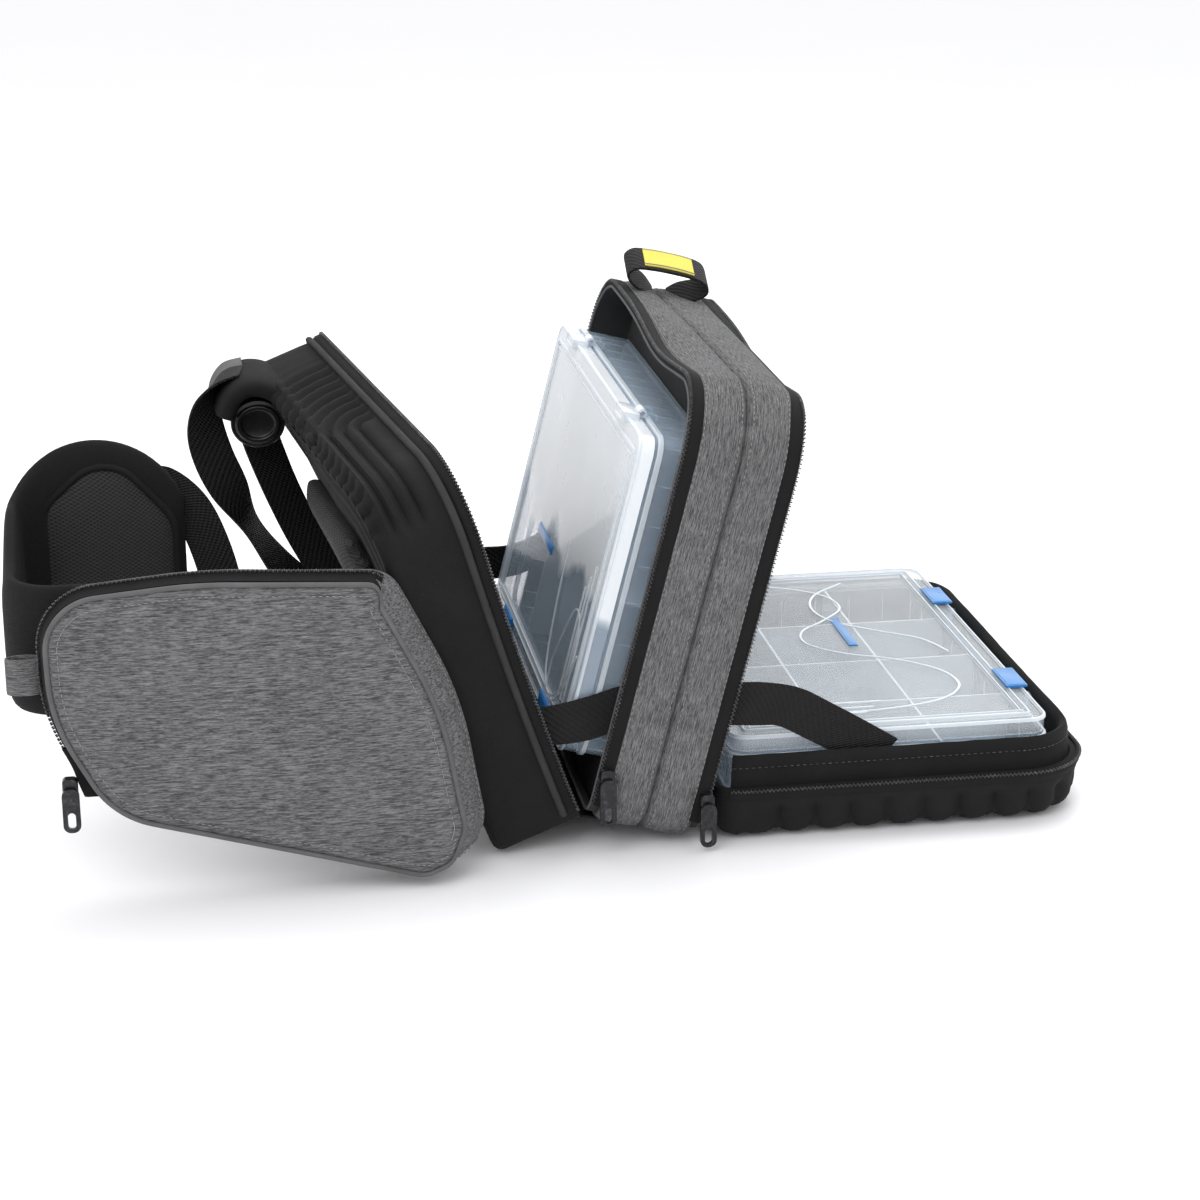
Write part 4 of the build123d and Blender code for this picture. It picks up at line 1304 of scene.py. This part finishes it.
# %% Strap buckle
bpy.ops.object.select_all(action="DESELECT")
bpy.ops.mesh.primitive_cylinder_add(vertices=48, radius=0.0145, depth=0.034)
drum = bpy.context.object
drum.scale = (1.1, 1, 1)
bpy.ops.object.transform_apply(location=True, rotation=True, scale=True)
pick(drum, lambda middle, normal: abs(normal.z) > 0.9)
panel(0.003, 0.0016)
panel(0.003, -0.0024)
buckle_frame = Section(strap_at(23, -5), (1, 0, 0), (0, 0, 1), (0, -1, 0))
own(moulded(drum, "round_buckle", buckle_frame, 0.0012), "back_section", black_plastic,
    ["strap_buckle"])

# %% [markdown]
# ## The tackle boxes
# A tackle box is a thin clear tray with a lid. Thin walls need form to be stiff: a flange
# round the tray's mouth, steps round the lid, ribs that hold the dividers. The CAD base, lid
# and dividers are right as they are and only get their plastic; the flange, the steps, the
# ribs and the embossed lines are added as separate slim pieces.

# %% Box frames and finishes
box_width, box_length, box_height = 0.181, 0.273, 0.042
flat_box_floor, upright_middle, upright_floor = 0.014, 0.1215, 0.022
box_walk = outline(rectangle(box_width / 2, -box_length / 2, box_length / 2), (0.010,) * 4)
flat_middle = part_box("flat_box_base")[1].x - box_width / 2
flat_frame = Section((flat_middle, 0, flat_box_floor), (1, 0, 0), (0, 1, 0), (0, 0, 1))
upright_place = centre.at(0, upright_middle, upright_floor)
upright_frame = Section(upright_place, -centre.up, -centre.along, -centre.inwards)


def step_bar(inset, low, high, width):
    return lambda p, o, r: [(-inset, low), (-inset + width, low + 0.0003), (-inset + width, high - 0.0005),
                            (-inset + width * 0.6, high), (-inset, high)]


def paint(node, material):
    """Gives a CAD node its finish."""
    nodes[node].data.materials.clear()
    nodes[node].data.materials.append(material)


box_steps = (  # name, its body, its slot, inset, low, high and width
    ("box_flange", "box", "clear_plastic", 0, 0.0285, 0.0315, 0.0016),
    ("box_foot_rim", "box", "clear_plastic", 0.004, 0.0001, 0.0012, 0.0018),
    ("box_lid_outer_step", "lid", "frosted_lid", 0.0006, 0.0402, 0.0424, 0.0014),
    ("box_lid_middle_step", "lid", "frosted_lid", 0.0090, 0.0402, 0.0430, 0.0014),
    ("box_lid_inner_step", "lid", "frosted_lid", 0.0130, 0.0402, 0.0428, 0.0010),
)


def box_details(short, box, lid_plastic):
    for part, plastic in (("base", box_plastic), ("dividers", plate_plastic), ("lid", lid_plastic)):
        paint(f"{short}_box_{part}", plastic)
    for name, body, slot, *sizes in box_steps:
        step = swept(f"{short}_{name}", box, box_walk, step_bar(*sizes), closed=True, sharp=50)
        own(step, f"{short}_{body}", rim_plastic)
    ribs = beads(f"{short}_box_divider_ribs", box, box_walk, 0.0225, (0.0004, 0.0006, 0.0120),
                 lambda p, o, r: (-0.0024, 0.0150))
    own(ribs, f"{short}_box", rim_plastic)


box_details("flat", flat_frame, flat_lid_plastic)
box_details("upright", upright_frame, upright_lid_plastic)

# %% Embossed lines on the lids
def emboss(name, box, body, points, radius=0.0006, closed=False):
    knots = []
    for i, (x, y) in enumerate(points):
        a, b = points[max(i - 1, 0)], points[min(i + 1, len(points) - 1)]
        side = Vector((b[1] - a[1], a[0] - b[0])).normalized() * radius * 1.3
        knots.append((box.at(x * 0.001, y * 0.001, box_height + 0.0002), box.turn(side)))
    own(band(name, knots, radius * 2, sides=6, square=2.5, steps=5), body, rim_plastic)


flat_curves = {
    "flat_lid_far_curve": ((-48, 118), (-12, 112), (16, 92), (22, 66), (6, 44), (-12, 26), (-14, 4), (4, -16),
                           (30, -30), (52, -52), (56, -78), (40, -98), (8, -108), (-40, -112)),
    "flat_lid_near_curve": ((34, 112), (12, 92), (4, 66), (12, 40), (34, 20), (56, 2), (66, -22)),
}
for name, points in flat_curves.items():
    emboss(name, flat_frame, "flat_lid", points)
for k in range(3):
    y = -96 - 8 * k
    rib = ((-74, y), (-50, y), (-20, y), (4 - 6 * k, y))
    emboss(f"flat_lid_rib_{k}", flat_frame, "flat_lid", rib, 0.0007)
    emboss(f"flat_lid_far_rib_{k}", flat_frame, "flat_lid", ((-74, -y), (-50, -y), (-30, -y)), 0.0007)
upright_curves = {
    "upright_lid_oval": ((62, 62), (34, 78), (22, 90), (24, 104), (40, 110), (60, 104), (74, 88), (78, 66),
                         (62, 62)),
    "upright_lid_sweep": ((40, 118), (66, 104), (80, 78), (70, 52), (40, 40), (0, 34)),
}
for name, points in upright_curves.items():
    emboss(name, upright_frame, "upright_lid", points)
for k in range(3):
    y = 112 - 7 * k
    rib = ((-10 + 8 * k, y), (20, y), (50, y), (70, y))
    emboss(f"upright_lid_rib_{k}", upright_frame, "upright_lid", rib, 0.0007)

# %% Latches, clips and the plain blue bars
def shifted(box, x, y, z):
    return Section(box.at(x, y, z), box.along, box.up, box.inwards)


latch_x, latch_z = box_width / 2 + 0.0020, box_height - 0.0035
clip_x, clip_z = -box_width / 2 - 0.0005, box_height - 0.0015


def latch(name, box, y):
    """A snap latch's plate: a raised panel on its face, and a top that leans in under the cover."""
    plate = block(0.0019, 0.0300, 0.0110, (0, 0, -0.0055))
    pick(plate, lambda middle, normal: normal.x > 0.9)
    panel(0.0018, 0.0006)
    pick(plate, lambda middle, normal: normal.z > 0.9)
    bpy.ops.mesh.extrude_region_move(TRANSFORM_OT_translate={"value": (-0.0004, 0, 0.0011)})
    bpy.ops.mesh.extrude_region_move(TRANSFORM_OT_translate={"value": (-0.0004, 0, 0.0006)})
    return moulded(plate, name, shifted(box, latch_x, y, latch_z), 0.0004)


# The plate flips up with its body; the cover over the lid's edge and the clips stay with the lid.
for short, box, bar_spot in (
    ("flat", flat_frame, (0.013, 0.022)),
    ("upright", upright_frame, (0.018, -0.030)),
):
    lid = f"{short}_lid"
    for end, y in (("near", -0.075), ("far", 0.075)):
        own(latch(f"{short}_latch_plate_{end}", box, y), f"{short}_latch_{end}", blue_plastic,
            [f"{short}_box_latch_{end}"])
        cover = topped((0.0125, 0.0290, 0.0014), 0.0010, 0.0003, (-0.0056, 0, 0.0050))
        cover = moulded(cover, f"{short}_latch_cover_{end}", shifted(box, latch_x, y, latch_z), 0.0004)
        own(cover, lid, blue_plastic)
    for end, y in (("near", -0.085), ("far", 0.085)):
        clip = topped((0.0060, 0.0230, 0.0095), 0.0012, -0.0008)
        clip = moulded(clip, f"{short}_hinge_clip_{end}", shifted(box, clip_x, y, clip_z), 0.0008)
        own(clip, lid, rim_plastic)
    bar = topped((0.0055, 0.0500, 0.0008), 0.0010, 0.0002)
    bar = moulded(bar, f"{short}_blue_bar", shifted(box, *bar_spot, box_height + 0.0002), 0.0003)
    own(bar, lid, blue_plastic)

# %% Sliders and pulls
for name in ("front_zip", "rear_zip", "side_pocket_zip"):
    for part in ("slider", "pull"):
        paint(f"{name}_{part}", black_metal)
print("hard fittings done")
